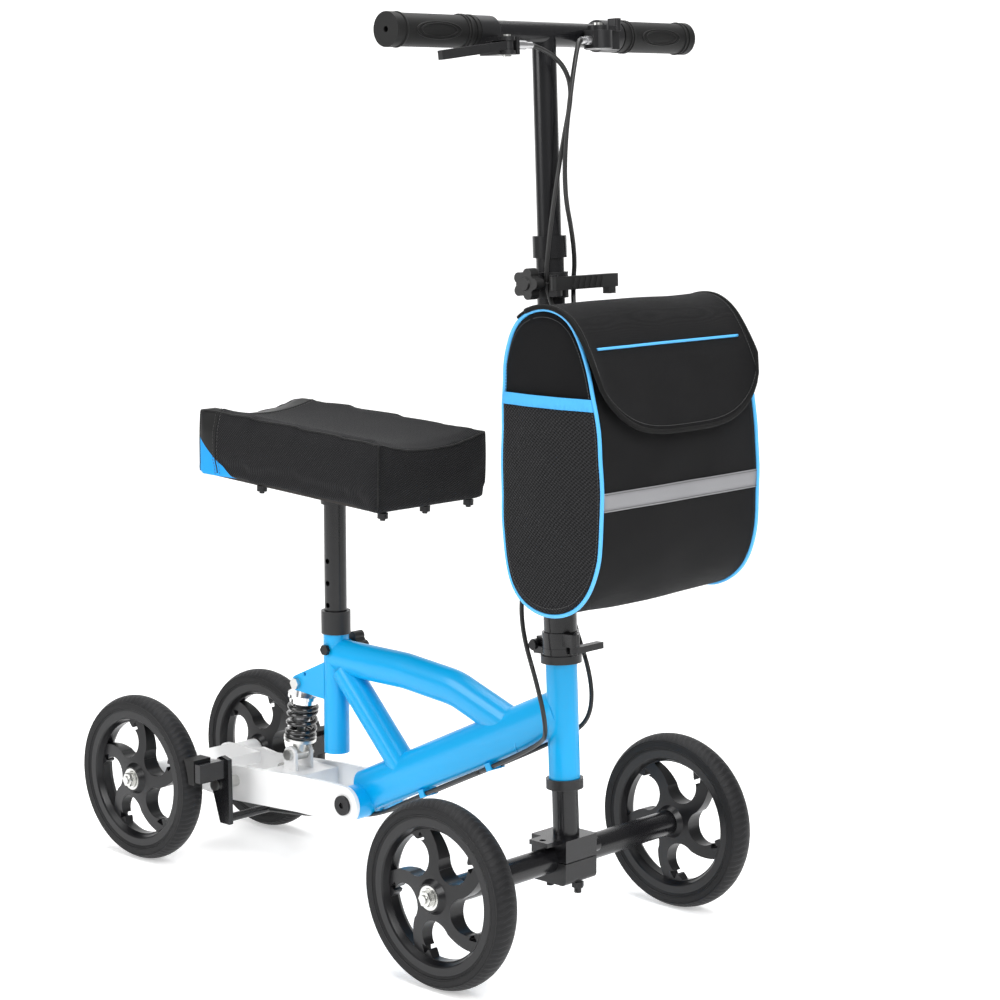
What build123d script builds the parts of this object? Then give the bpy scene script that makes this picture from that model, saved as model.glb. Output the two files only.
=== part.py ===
"""Knee scooter: four wheels, sprung rear arm, folding steering column, padded knee rest and bag.

Millimetres. +X points forward, +Y to the rider's left, +Z up.
The origin is on the floor, under the centre of the whole scooter's box.
"""
import os
from math import cos, pi, radians, sin

from build123d import *

os.makedirs("parts", exist_ok=True)

# ---------------------------------------------------------------- driving sizes
wheel_radius = 100.0
tyre_width = 30.0
wheelbase = 594.0
front_half_track = 192.0
rear_half_track = 100.0
bag_reach = 158.0
column_lean = 2.4
steering_offset = 4.0

running_gap = 0.05
slide_gap = 0.08
rest_gap = 0.3
tube_wall = 2.0

rear_axle_x = wheel_radius - (wheel_radius + wheelbase + bag_reach) / 2
front_axle_x = rear_axle_x + wheelbase
axle_z = wheel_radius

# wheel
rim_radius = 82.0
rim_lip = 9.5
rim_width = 26.0
hub_radius = 15.0
hub_width = 34.0
web_hub_half = 11.0
web_rim_half = 5.0
spoke_count = 5
bearing_radius = 13.0
bearing_width = 8.0
axle_bolt_radius = 5.0
axle_head_radius = 8.5
axle_head_height = 6.5

# frame
head_radius = 17.0
head_low = 87.0
head_high = 213.5
head_bore = 15.2
steerer_radius = 14.3
down_tube_half = (25.0, 18.0)
top_tube_half = (21.0, 15.6)
strut_radius = 16.6
seat_tube_radius = 15.0
seat_tube_x = -88.0
seat_tube_low = 154.0
seat_tube_high = 297.0
pivot_x = -35.0
pivot_z = 107.0
pivot_sleeve_radius = 20.0
pivot_half_width = 35.7
pivot_bolt_radius = 8.0
pivot_bush_radius = 11.0

# swingarm and shock
arm_inner = 36.0
arm_plate = 5.0
arm_boss_radius = 22.0
arm_half_height = 20.0
shock_top = (-141.0, 230.0)
shock_foot = (-155.0, 141.0)
shock_pin_radius = 4.0
shock_eye_half = 10.0
clevis_plate = 4.0
foot_pin_gap = 0.6
spring_radius = 19.0
spring_wire = 6.0
spring_turns = 4.0

# rear brake
brake_pivot = (-222.0, 103.0)
brake_bar = (-207.0, 64.0)
yoke_half = 66.0
yoke_plate = 6.0
pad_gap = 2.4

# knee rest
post_radius = 13.0
post_low = 238.0
post_hole_pitch = 26.0
post_hole_first = 278.0
pad_tilt = 3.0
pad_centre_x = -84.0
pad_bottom = 468.5
pad_thick = 82.0
pad_length = 313.0
pad_half_front = 87.0
pad_half_rear = 81.0
pad_dip = 13.0
board_thick = 10.0
board_inset = 12.0
bracket_thick = 4.0

# steering column, measured along the steering axis from the front axle's height
fold_plate_low = 222.4
fold_split = 230.0
foot_high = 247.0
sleeve_high = 300.0
column_high = 660.0
column_radius = 14.75
column_wall = 1.97
sleeve_radius = 18.0
foot_radius = 20.3
fold_pin_back = 28.0
fold_pin_height = 231.0
collar_low = 645.0
collar_high = 668.0
band_low = 606.0
band_high = 630.0
stem_radius = column_radius - column_wall - slide_gap
stem_low = 440.0
bar_height = 876.3
bar_half = 226.0
bar_radius = 12.7
grip_radius = 16.5
grip_flare = 17.4
grip_length = 117.0
grip_end = 230.0

# bag
bag_back_reach = 28.0
bag_back = front_axle_x + bag_back_reach
bag_low = 388.0
bag_high = 706.0
bag_half = 127.0
flap_thick = 5.0
flap_gap = 0.6

# brake cables, side by side under the down tube
cable_radius = 2.5
cable_apart = 7.0
cable_drop = 28.2
cable_tip_gap = 1.6


def save(piece, label):
    """Name a finished sub-part and write it."""
    piece.part.label = label
    export_step(piece.part, f"parts/{label}.step")


def across(x, y, z):
    """A plane that looks along +Y, with +X to its right."""
    return Plane(origin=(x, y, z), x_dir=(1, 0, 0), z_dir=(0, 1, 0))


def side_view(y=0.0):
    """A plane for side profiles in X and Z; extruding goes towards -Y."""
    return Plane(origin=(0, y, 0), x_dir=(1, 0, 0), z_dir=(0, -1, 0))


def spin_y(x, z, radius, y_low, y_high, mode=Mode.ADD):
    """A cylinder along Y inside the piece being built."""
    with BuildSketch(across(x, y_low, z), mode=Mode.PRIVATE) as disc:
        Circle(radius)
    extrude(disc.sketch, amount=y_high - y_low, mode=mode)


lean = radians(column_lean)
steer = Plane(
    origin=(front_axle_x + steering_offset, 0, axle_z),
    x_dir=(cos(lean), 0, sin(lean)),
    z_dir=(-sin(lean), 0, cos(lean)),
)


def on_column(forward, left, height):
    """A point given by its place on the steering column."""
    return steer.from_local_coords(Vector(forward, left, height))


def column_across(forward, left, height):
    """A plane at a place on the column that looks along +Y."""
    return Plane(origin=on_column(forward, left, height), x_dir=steer.x_dir, z_dir=(0, 1, 0))


def column_rod(low, high, radius, mode=Mode.ADD, forward=0.0, left=0.0):
    """A round length along the column, inside the piece being built."""
    foot = Plane(origin=on_column(forward, left, low), x_dir=steer.x_dir, z_dir=steer.z_dir)
    with BuildSketch(foot, mode=Mode.PRIVATE) as disc:
        Circle(radius)
    extrude(disc.sketch, amount=high - low, mode=mode)


# ---------------------------------------------------------------- wheels
shoulder = 6.0


def build_tyre(x, y):
    """Solid rubber tyre with rounded shoulders."""
    half = tyre_width / 2
    with BuildPart() as tyre:
        with BuildSketch(Plane(origin=(x, y, axle_z), x_dir=(0, 1, 0), z_dir=(1, 0, 0))):
            with BuildLine():
                Line((-half + 2, rim_radius), (half - 2, rim_radius))
                Line((half - 2, rim_radius), (half, rim_radius + 4))
                Line((half, rim_radius + 4), (half, wheel_radius - shoulder))
                ThreePointArc(
                    (half, wheel_radius - shoulder),
                    (0, wheel_radius),
                    (-half, wheel_radius - shoulder),
                )
                Line((-half, wheel_radius - shoulder), (-half, rim_radius + 4))
                Line((-half, rim_radius + 4), (-half + 2, rim_radius))
            make_face()
        revolve(axis=Axis((x, y, axle_z), (0, 1, 0)))
    return tyre


def wheel_window(angle):
    """One swept window between two spokes: round behind, drawn to a point ahead."""
    centre_r = 45.0
    round_r = 19.5
    rim_r = rim_radius - rim_lip - 4.0
    point_angle = angle + 43.0
    with BuildSketch(mode=Mode.PRIVATE) as window:
        with Locations((centre_r * cos(radians(angle)), centre_r * sin(radians(angle)))):
            Circle(round_r)
        near = (
            (centre_r + 12) * cos(radians(angle - 14)),
            (centre_r + 12) * sin(radians(angle - 14)),
        )
        start = (rim_r * cos(radians(angle - 6)), rim_r * sin(radians(angle - 6)))
        middle = (rim_r * cos(radians(angle + 18)), rim_r * sin(radians(angle + 18)))
        point = (rim_r * cos(radians(point_angle)), rim_r * sin(radians(point_angle)))
        belly = (
            (centre_r - 2) * cos(radians(angle + 27)),
            (centre_r - 2) * sin(radians(angle + 27)),
        )
        inner = (
            (centre_r - 15) * cos(radians(angle + 20)),
            (centre_r - 15) * sin(radians(angle + 20)),
        )
        with BuildLine():
            ThreePointArc(start, middle, point)
            ThreePointArc(point, belly, inner)
            Line(inner, near)
            Line(near, start)
        make_face()
    return window.sketch


def rim_notch(angle):
    """One small three-cornered hole by the rim, beside a spoke's fork."""
    middle_r = 62.0
    with BuildSketch(mode=Mode.PRIVATE) as notch:
        with Locations((middle_r * cos(radians(angle)), middle_r * sin(radians(angle)))):
            RegularPolygon(6.6, 3, rotation=angle)
        fillet(notch.vertices(), 1.2)
    return notch.sketch


def build_rim(x, y, phase):
    """One-piece wheel: deep rim, five forked spokes and a hub bored for two bearings."""
    face = across(x, y, axle_z)
    with BuildPart() as rim:
        with BuildSketch(Plane(origin=(x, y, axle_z), x_dir=(0, 1, 0), z_dir=(1, 0, 0))):
            with BuildLine():
                Polyline(
                    (-hub_width / 2, axle_bolt_radius + 3),
                    (hub_width / 2, axle_bolt_radius + 3),
                    (hub_width / 2, hub_radius),
                    (web_hub_half, hub_radius + 4),
                    (web_rim_half, rim_radius - rim_lip - 3),
                    (rim_width / 2 - 1.5, rim_radius - rim_lip),
                    (rim_width / 2, rim_radius - rim_lip + 1.5),
                    (rim_width / 2, rim_radius),
                    (-rim_width / 2, rim_radius),
                    (-rim_width / 2, rim_radius - rim_lip + 1.5),
                    (-rim_width / 2 + 1.5, rim_radius - rim_lip),
                    (-web_rim_half, rim_radius - rim_lip - 3),
                    (-web_hub_half, hub_radius + 4),
                    (-hub_width / 2, hub_radius),
                    close=True,
                )
            make_face()
        revolve(axis=Axis((x, y, axle_z), (0, 1, 0)))
        for i in range(spoke_count):
            turn = -phase - i * 360 / spoke_count
            with BuildSketch(face.offset(-hub_width / 2)):
                add(Rotation(0, 0, turn) * wheel_window(0).mirror(Plane.XZ))
            extrude(amount=hub_width, mode=Mode.SUBTRACT)
            with BuildSketch(face.offset(-hub_width / 2)):
                add(Rotation(0, 0, turn) * rim_notch(56).mirror(Plane.XZ))
            extrude(amount=hub_width, mode=Mode.SUBTRACT)
        for side in (-1, 1):
            pocket = side * (hub_width / 2 - bearing_width / 2)
            spin_y(x, axle_z, bearing_radius, y + pocket - 4, y + pocket + 4, Mode.SUBTRACT)
    return rim


def build_bearings(x, y):
    """Two ball bearings, drawn as plain rings, that run on the axle bolt."""
    with BuildPart() as bearings:
        for side in (-1, 1):
            middle = y + side * (hub_width / 2 - bearing_width / 2)
            half = bearing_width / 2 - running_gap
            spin_y(x, axle_z, bearing_radius, middle - half, middle + half)
        spin_y(x, axle_z, axle_bolt_radius + running_gap,
            y - hub_width, y + hub_width, Mode.SUBTRACT,
        )
    return bearings


def build_axle_bolts(x, half_track, tube_end):
    """Two axle bolts, one for each wheel, with a washer under each head."""
    outer = half_track + hub_width / 2
    with BuildPart() as bolts:
        for side in (-1, 1):
            low, high = sorted((side * (tube_end - 26), side * (outer + 2)))
            spin_y(x, axle_z, axle_bolt_radius, low, high)
            low, high = sorted((side * (outer + rest_gap), side * (outer + 2)))
            spin_y(x, axle_z, axle_head_radius + 1.5, low, high)
            start = side * (outer + 2)
            facing = Plane(origin=(x, start, axle_z), x_dir=(1, 0, 0), z_dir=(0, side, 0))
            with BuildSketch(facing):
                RegularPolygon(axle_head_radius, 6)
            extrude(amount=axle_head_height - 2)
            with BuildSketch(facing.offset(axle_head_height - 2)):
                Circle(axle_bolt_radius)
            extrude(amount=2.5, taper=12)
    return bolts


wheels = {
    "front_right": (front_axle_x, -front_half_track, 55.0),
    "front_left": (front_axle_x, front_half_track, 0.0),
    "rear_right": (rear_axle_x, -rear_half_track, 38.0),
    "rear_left": (rear_axle_x, rear_half_track, 15.0),
}
for corner, (wheel_x, wheel_y, wheel_phase) in wheels.items():
    save(build_tyre(wheel_x, wheel_y), f"{corner}_tyre")
    save(build_rim(wheel_x, wheel_y, wheel_phase), f"{corner}_rim")
    save(build_bearings(wheel_x, wheel_y), f"{corner}_bearings")

front_tube_end = front_half_track - hub_width / 2 - 1.5
rear_tube_end = rear_half_track - hub_width / 2 - 1.5
save(build_axle_bolts(front_axle_x, front_half_track, front_tube_end), "front_axle_bolts")
save(build_axle_bolts(rear_axle_x, rear_half_track, rear_tube_end), "rear_axle_bolts")

# ---------------------------------------------------------------- main frame
down_low = Vector(pivot_x - 4, 0, pivot_z + 8)
down_high = on_column(0, 0, 160)
down_dir = (down_high - down_low).normalized()
down_length = (down_high - down_low).length
down_plane = Plane(origin=down_low, x_dir=(0, 1, 0), z_dir=down_dir)
top_z = 268.0
top_points = [
    (seat_tube_x, 0, top_z + 1),
    (seat_tube_x + 115, 0, top_z),
    (seat_tube_x + 195, 0, top_z - 8),
    (seat_tube_x + 300, 0, top_z - 45),
]
strut_low = Vector(32, 0, 146)
strut_high = Vector(-72, 0, 254)


def frame_tubes(thinner, open_ends):
    """The three main tubes; thinner is taken off every radius for their hollow insides."""
    with BuildPart(mode=Mode.PRIVATE) as tubes:
        with BuildSketch(down_plane.offset(open_ends)):
            Ellipse(down_tube_half[1] - thinner, down_tube_half[0] - thinner)
        extrude(amount=down_length - open_ends)
        with BuildLine() as top_path:
            FilletPolyline(*top_points, radius=90)
        with BuildSketch(Plane(origin=top_path.line @ 0, x_dir=(0, 1, 0), z_dir=top_path.line % 0)):
            Ellipse(top_tube_half[1] - thinner, top_tube_half[0] - thinner)
        sweep(path=top_path.line)
        strut = Plane(origin=strut_low, x_dir=(0, 1, 0), z_dir=(strut_high - strut_low).normalized())
        with BuildSketch(strut):
            Circle(strut_radius - thinner)
        extrude(amount=(strut_high - strut_low).length)
    return tubes.part


with BuildPart() as main_frame:
    column_rod(head_low, head_high, head_radius)
    with BuildSketch(Plane.XY.offset(seat_tube_low)):
        with Locations((seat_tube_x, 0)):
            Circle(seat_tube_radius)
    extrude(amount=seat_tube_high - seat_tube_low)
    add(frame_tubes(0.0, 0.0))
    spin_y(pivot_x, pivot_z, pivot_sleeve_radius, -pivot_half_width, pivot_half_width)
    spin_y(seat_tube_x, post_hole_first, 8.0, 10.0, 20.7)
    for clevis_y in (-shock_eye_half - rest_gap - clevis_plate, shock_eye_half + rest_gap):
        with BuildSketch(side_view(clevis_y + clevis_plate)):
            with BuildLine():
                Polyline(
                    (seat_tube_x - 6, 262),
                    (shock_top[0] - 5, shock_top[1] + 8),
                    (shock_top[0] - 9, shock_top[1]),
                    (shock_top[0] - 3, shock_top[1] - 8.5),
                    (seat_tube_x - 6, 218),
                    close=True,
                )
            make_face()
            with Locations(shock_top):
                Circle(9)
        extrude(amount=clevis_plate)
    for clip_at in (0.28, 0.62):
        clip = down_plane.offset(clip_at * down_length)
        with BuildSketch(clip):
            with Locations((0, -down_tube_half[0] - 2.5)):
                Rectangle(22, 9)
        extrude(amount=8)
    # hollow insides, then bores
    add(frame_tubes(tube_wall, 24.0), mode=Mode.SUBTRACT)
    column_rod(head_low - 1, head_high + 1, head_bore, Mode.SUBTRACT)
    with BuildSketch(Plane.XY.offset(seat_tube_low - 1)):
        with Locations((seat_tube_x, 0)):
            Circle(post_radius + slide_gap)
    extrude(amount=seat_tube_high - seat_tube_low + 2, mode=Mode.SUBTRACT)
    spin_y(pivot_x, pivot_z, pivot_bush_radius,
        -pivot_half_width - 1, pivot_half_width + 1, Mode.SUBTRACT,
    )
    spin_y(*shock_top, shock_pin_radius, -20, 20, Mode.SUBTRACT)
    spin_y(shock_top[0] + 14, shock_top[1] + 13, 2.2, -20, 20, Mode.SUBTRACT)
    spin_y(seat_tube_x, post_hole_first, 4.0, -22, 22, Mode.SUBTRACT)
    for clip_at in (0.28, 0.62):
        clip = down_plane.offset(clip_at * down_length - 1)
        with BuildSketch(clip):
            with Locations((-cable_apart, -cable_drop), (cable_apart, -cable_drop)):
                Circle(cable_radius + 0.2)
        extrude(amount=10, mode=Mode.SUBTRACT)
save(main_frame, "main_frame")

# head bearings and cups
cup_radius = 22.2
lower_cup_radius = 20.3
race_radius = 18.0
with BuildPart() as head_cups:
    column_rod(head_high + 0.0, head_high + 8.5, cup_radius)
    column_rod(head_high - 8, head_high, head_bore)
    column_rod(head_low - 11, head_low, lower_cup_radius)
    column_rod(head_low, head_low + 8, head_bore)
    column_rod(head_low - 12, head_high + 12, steerer_radius + 0.5, Mode.SUBTRACT)
    column_rod(head_high + 1.5, head_high + 7.5, race_radius, Mode.SUBTRACT)
    column_rod(head_low - 9, head_low - 3, race_radius, Mode.SUBTRACT)
save(head_cups, "head_cups")

with BuildPart() as head_bearings:
    column_rod(head_high + 1.5 + rest_gap, head_high + 7.5 - rest_gap, race_radius)
    column_rod(head_low - 9 + rest_gap, head_low - 3 - rest_gap, race_radius)
    column_rod(head_low - 12, head_high + 12, steerer_radius + running_gap, Mode.SUBTRACT)
save(head_bearings, "head_bearings")

# seat tube fittings
seat_collar_radius = 17.2
seat_collar_high = 323.0
with BuildPart() as seat_collar:
    with BuildSketch(Plane.XY.offset(seat_tube_high - 1)):
        with Locations((seat_tube_x, 0)):
            Circle(seat_collar_radius)
    extrude(amount=seat_collar_high - seat_tube_high + 1)
    with BuildSketch(Plane.XY.offset(seat_tube_high - 2)):
        with Locations((seat_tube_x, 0)):
            Circle(seat_tube_radius)
    extrude(amount=2, mode=Mode.SUBTRACT)
    with BuildSketch(Plane.XY.offset(seat_tube_high - 2)):
        with Locations((seat_tube_x, 0)):
            Circle(post_radius + slide_gap)
    extrude(amount=40, mode=Mode.SUBTRACT)
    fillet(seat_collar.edges().filter_by(GeomType.CIRCLE).sort_by(Axis.Z)[-1], 1.2)
save(seat_collar, "seat_collar")

with BuildPart() as seat_stop_bolt:
    spin_y(seat_tube_x, post_hole_first, 4.0, -15.6, -post_radius - rest_gap)
    with BuildSketch(Plane(origin=(seat_tube_x, -15.6, post_hole_first), x_dir=(1, 0, 0), z_dir=(0, -1, 0))):
        RegularPolygon(6.5, 6)
    extrude(amount=4.5)
save(seat_stop_bolt, "seat_stop_bolt")


def star_knob(plane, stud_radius, stud_length, radius, thick):
    """A five-lobed knob on its stud; the plane's normal points out to the hand."""
    lobe = radius * 0.34
    with BuildPart() as knob:
        with BuildSketch(plane.offset(1.2)):
            Circle(radius * 0.72)
            with PolarLocations(radius - lobe, 5):
                Circle(lobe)
        extrude(amount=thick)
        with BuildSketch(plane):
            Circle(radius * 0.5)
        extrude(amount=1.2)
        with BuildSketch(plane):
            Circle(stud_radius)
        extrude(amount=-stud_length)
        with BuildSketch(plane.offset(1.2 + thick)):
            Circle(radius * 0.42)
        extrude(amount=2.2, taper=20)
    return knob


knob_plane = Plane(origin=(seat_tube_x, 21.0, post_hole_first), x_dir=(1, 0, 0), z_dir=(0, 1, 0))
save(star_knob(knob_plane, 3.9, 21.0 - post_radius - rest_gap, 17.0, 15.0), "seat_lock_knob")

# ---------------------------------------------------------------- knee rest
with BuildPart() as seat_post:
    with BuildSketch(Plane.XY.offset(post_low)):
        with Locations((seat_tube_x, 0)):
            Circle(post_radius)
            Circle(post_radius - tube_wall, mode=Mode.SUBTRACT)
    extrude(amount=pad_bottom - bracket_thick - post_low - 1)
    for i in range(5):
        hole_z = post_hole_first + i * post_hole_pitch
        spin_y(seat_tube_x, hole_z, 3.2, -20, 20, Mode.SUBTRACT)
save(seat_post, "seat_post")

tilt = radians(pad_tilt)
pad_plane = Plane(
    origin=(pad_centre_x, 0, pad_bottom),
    x_dir=(cos(tilt), 0, -sin(tilt)),
    z_dir=(sin(tilt), 0, cos(tilt)),
)
pad_rear = -pad_length / 2
pad_front = pad_length / 2


def pad_outline(inset):
    """The knee pad's plan, a little wider in front, drawn in the pad's own plane."""
    with BuildSketch(mode=Mode.PRIVATE) as outline:
        with BuildLine():
            Polyline(
                (pad_rear + inset, -pad_half_rear + inset),
                (pad_front - inset, -pad_half_front + inset),
                (pad_front - inset, pad_half_front - inset),
                (pad_rear + inset, pad_half_rear - inset),
                close=True,
            )
        make_face()
        fillet(outline.vertices(), 10)
    return outline.sketch


with BuildPart() as knee_pad:
    with BuildSketch(pad_plane):
        add(pad_outline(0))
    extrude(amount=pad_thick)
    # saddle: a long shallow trough along the top
    trough = Plane(origin=pad_plane.from_local_coords(Vector(-pad_length, 0, pad_thick)),
                   x_dir=(0, 1, 0), z_dir=pad_plane.x_dir)
    with BuildSketch(trough):
        with BuildLine():
            Line((-pad_half_front + 14, 0), (pad_half_front - 14, 0))
            ThreePointArc((pad_half_front - 14, 0), (0, -pad_dip), (-pad_half_front + 14, 0))
        make_face()
    extrude(amount=2 * pad_length, mode=Mode.SUBTRACT)
    with BuildSketch(pad_plane):
        add(pad_outline(board_inset))
    extrude(amount=board_thick, mode=Mode.SUBTRACT)
save(knee_pad, "knee_pad")

with BuildPart() as pad_board:
    with BuildSketch(pad_plane):
        add(pad_outline(board_inset + rest_gap))
    extrude(amount=board_thick - rest_gap)
save(pad_board, "pad_board")

bracket_half = (42.0, 45.0)
socket_radius = 16.5
with BuildPart() as pad_bracket:
    with BuildSketch(pad_plane.offset(-bracket_thick)):
        with Locations((seat_tube_x - pad_centre_x, 0)):
            RectangleRounded(2 * bracket_half[0], 2 * bracket_half[1], 8)
    extrude(amount=bracket_thick)
    with BuildSketch(Plane.XY.offset(pad_bottom - 20)):
        with Locations((seat_tube_x, 0)):
            Circle(socket_radius)
    extrude(amount=18)
    with BuildSketch(Plane.XY.offset(pad_bottom - 30)):
        with Locations((seat_tube_x, 0)):
            Circle(post_radius)
    extrude(amount=30 - bracket_thick - 1, mode=Mode.SUBTRACT)
save(pad_bracket, "pad_bracket")

bolt_columns = (145.0, -53.0)
bolt_rows = (-68.0, 0.0, 68.0)
with BuildPart() as pad_bolts:
    for bolt_x in bolt_columns:
        for bolt_y in bolt_rows:
            with BuildSketch(pad_plane.offset(-6)):
                with Locations((bolt_x - (0 if bolt_y else 2), bolt_y)):
                    Circle(6.0)
            extrude(amount=6)
            with BuildSketch(pad_plane.offset(-8.5)):
                with Locations((bolt_x - (0 if bolt_y else 2), bolt_y)):
                    Circle(3.0)
            extrude(amount=2.5)
save(pad_bolts, "pad_bolts")

# ---------------------------------------------------------------- swingarm
arm_outer = arm_inner + arm_plate
with BuildPart() as swingarm:
    for plate_y in (arm_outer, -arm_inner):
        with BuildSketch(side_view(plate_y)):
            with BuildLine():
                Polyline(
                    (pivot_x, pivot_z + arm_boss_radius),
                    (-115, 128),
                    (-238, 119),
                    (-262, 122),
                    (-290, 118),
                    (rear_axle_x, axle_z + 17),
                    (rear_axle_x, axle_z - 17),
                    (-237, 77),
                    (-112, 84),
                    (pivot_x, pivot_z - arm_boss_radius),
                    close=True,
                )
            make_face()
            with Locations((pivot_x, pivot_z)):
                Circle(arm_boss_radius)
            with Locations((rear_axle_x, axle_z)):
                Circle(17)
        extrude(amount=arm_plate)
    # box that carries the foot of the shock, with its two ears
    with BuildSketch(side_view(arm_inner)):
        with Locations((shock_foot[0] + 3, 109)):
            Rectangle(54, 26)
    extrude(amount=2 * arm_inner)
    for ear_y in (shock_eye_half + rest_gap + clevis_plate, -shock_eye_half - rest_gap):
        with BuildSketch(side_view(ear_y)):
            with Locations((shock_foot[0], 131)):
                Rectangle(20, 22)
            with Locations(shock_foot):
                Circle(10)
        extrude(amount=clevis_plate)
    # rear bridge and the sleeve that holds the axle bolts
    with BuildSketch(side_view(arm_inner)):
        with Locations((-293, 110)):
            Rectangle(58, 14)
    extrude(amount=2 * arm_inner)
    spin_y(rear_axle_x, axle_z, 14.0, -rear_tube_end, rear_tube_end)
    spin_y(rear_axle_x, axle_z, axle_bolt_radius, -rear_tube_end - 1, rear_tube_end + 1, Mode.SUBTRACT)
    with BuildSketch(side_view(arm_inner - 8)):
        with Locations((shock_foot[0] + 3, 107)):
            Rectangle(44, 18)
    extrude(amount=2 * arm_inner - 16, mode=Mode.SUBTRACT)
    spin_y(pivot_x, pivot_z, pivot_bolt_radius + running_gap, -60, 60, Mode.SUBTRACT)
    spin_y(*shock_foot, shock_pin_radius, -20, 20, Mode.SUBTRACT)
    spin_y(*brake_pivot, 4.0, -60, 60, Mode.SUBTRACT)
save(swingarm, "swingarm")

with BuildPart() as pivot_bolt:
    spin_y(pivot_x, pivot_z, pivot_bolt_radius, -arm_outer - rest_gap, arm_outer + rest_gap)
    spin_y(pivot_x, pivot_z, 11.5, -arm_outer - 3.5, -arm_outer - rest_gap)
    spin_y(pivot_x, pivot_z, 11.5, arm_outer + rest_gap, arm_outer + 3.5)
    for face_y, way in ((-arm_outer - 3.5, 1), (arm_outer + 3.5, -1)):
        with BuildSketch(Plane(origin=(pivot_x, face_y, pivot_z), x_dir=(1, 0, 0), z_dir=(0, way, 0))):
            RegularPolygon(4.0, 6)
        extrude(amount=2.5, mode=Mode.SUBTRACT)
save(pivot_bolt, "swingarm_pivot_bolt")

with BuildPart() as pivot_bushes:
    for low, high in ((-pivot_half_width, -6), (6, pivot_half_width)):
        spin_y(pivot_x, pivot_z, pivot_bush_radius, low, high)
    spin_y(pivot_x, pivot_z, pivot_bolt_radius, -60, 60, Mode.SUBTRACT)
save(pivot_bushes, "pivot_bushes")

arm_bolt_head = 6.5
with BuildPart() as swingarm_bolts:
    spin_y(*shock_foot, shock_pin_radius, -15, 15)
    spin_y(*shock_foot, arm_bolt_head, -19, -shock_eye_half - rest_gap - clevis_plate)
    spin_y(*shock_foot, arm_bolt_head, shock_eye_half + rest_gap + clevis_plate, 19)
    for side in (-1, 1):
        low, high = sorted((side * (arm_inner - 4), side * (yoke_half + yoke_plate + 0.5)))
        spin_y(*brake_pivot, 4.0, low, high)
        low, high = sorted((side * (arm_inner - 4), side * arm_inner))
        spin_y(*brake_pivot, 7.0, low, high)
        low, high = sorted((side * arm_outer, side * (yoke_half - rest_gap)))
        spin_y(*brake_pivot, 7.0, low, high)
        low, high = sorted((side * (yoke_half + yoke_plate + 0.5), side * (yoke_half + yoke_plate + 4)))
        spin_y(*brake_pivot, 6.5, low, high)
save(swingarm_bolts, "swingarm_bolts")

# ---------------------------------------------------------------- shock absorber
shock_vector = Vector(shock_foot[0] - shock_top[0], 0, shock_foot[1] - shock_top[1])
shock_length = shock_vector.length
shock_axis = Plane(
    origin=(shock_top[0], 0, shock_top[1]), x_dir=(0, 1, 0), z_dir=shock_vector.normalized()
)


def shock_rod_length(start, end, radius, mode=Mode.ADD):
    """A round length along the shock, measured down from its top bolt."""
    with BuildSketch(shock_axis.offset(start), mode=Mode.PRIVATE) as disc:
        Circle(radius)
    extrude(disc.sketch, amount=end - start, mode=mode)


with BuildPart() as shock_body:
    spin_y(*shock_top, 8.8, -shock_eye_half, shock_eye_half)
    shock_rod_length(5, 50, 9.5)
    shock_rod_length(12, 51, 5.0 + slide_gap, Mode.SUBTRACT)
    spin_y(*shock_top, shock_pin_radius + running_gap, -12, 12, Mode.SUBTRACT)
save(shock_body, "shock_body")

with BuildPart() as preload_ring:
    shock_rod_length(15, 19, 19.5)
    shock_rod_length(19, 25, 17.0)
    shock_rod_length(14, 26, 9.5, Mode.SUBTRACT)
save(preload_ring, "shock_preload_ring")

spring_start = 25.0 + spring_wire / 2 + rest_gap
spring_end = 69.0
with BuildPart() as shock_spring:
    coil_length = spring_end - spring_start - spring_wire / 2 - rest_gap
    with BuildLine() as coil:
        Helix(
            pitch=coil_length / spring_turns,
            height=coil_length,
            radius=spring_radius,
            center=shock_axis.offset(spring_start).origin,
            direction=shock_axis.z_dir,
        )
    with BuildSketch(Plane(origin=coil.line @ 0, z_dir=coil.line % 0)):
        Circle(spring_wire / 2)
    sweep(path=coil.line, is_frenet=True)
save(shock_spring, "shock_spring")

with BuildPart() as shock_rod:
    shock_rod_length(30, 80, 5.0)
    shock_rod_length(spring_end, spring_end + 4, 19.5)
    shock_rod_length(spring_end + 4, shock_length, 8.0)
    spin_y(*shock_foot, 8.5, -shock_eye_half, shock_eye_half)
    spin_y(*shock_foot, shock_pin_radius + foot_pin_gap, -12, 12, Mode.SUBTRACT)
save(shock_rod, "shock_rod")

with BuildPart() as shock_bolt:
    edge = shock_eye_half + rest_gap + clevis_plate
    spin_y(*shock_top, shock_pin_radius, -edge - 1, edge + 1)
    for side in (-1, 1):
        start = Plane(origin=(shock_top[0], side * edge, shock_top[1]), x_dir=(1, 0, 0), z_dir=(0, side, 0))
        with BuildSketch(start):
            RegularPolygon(7.0, 6)
        extrude(amount=5)
save(shock_bolt, "shock_top_bolt")

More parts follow.
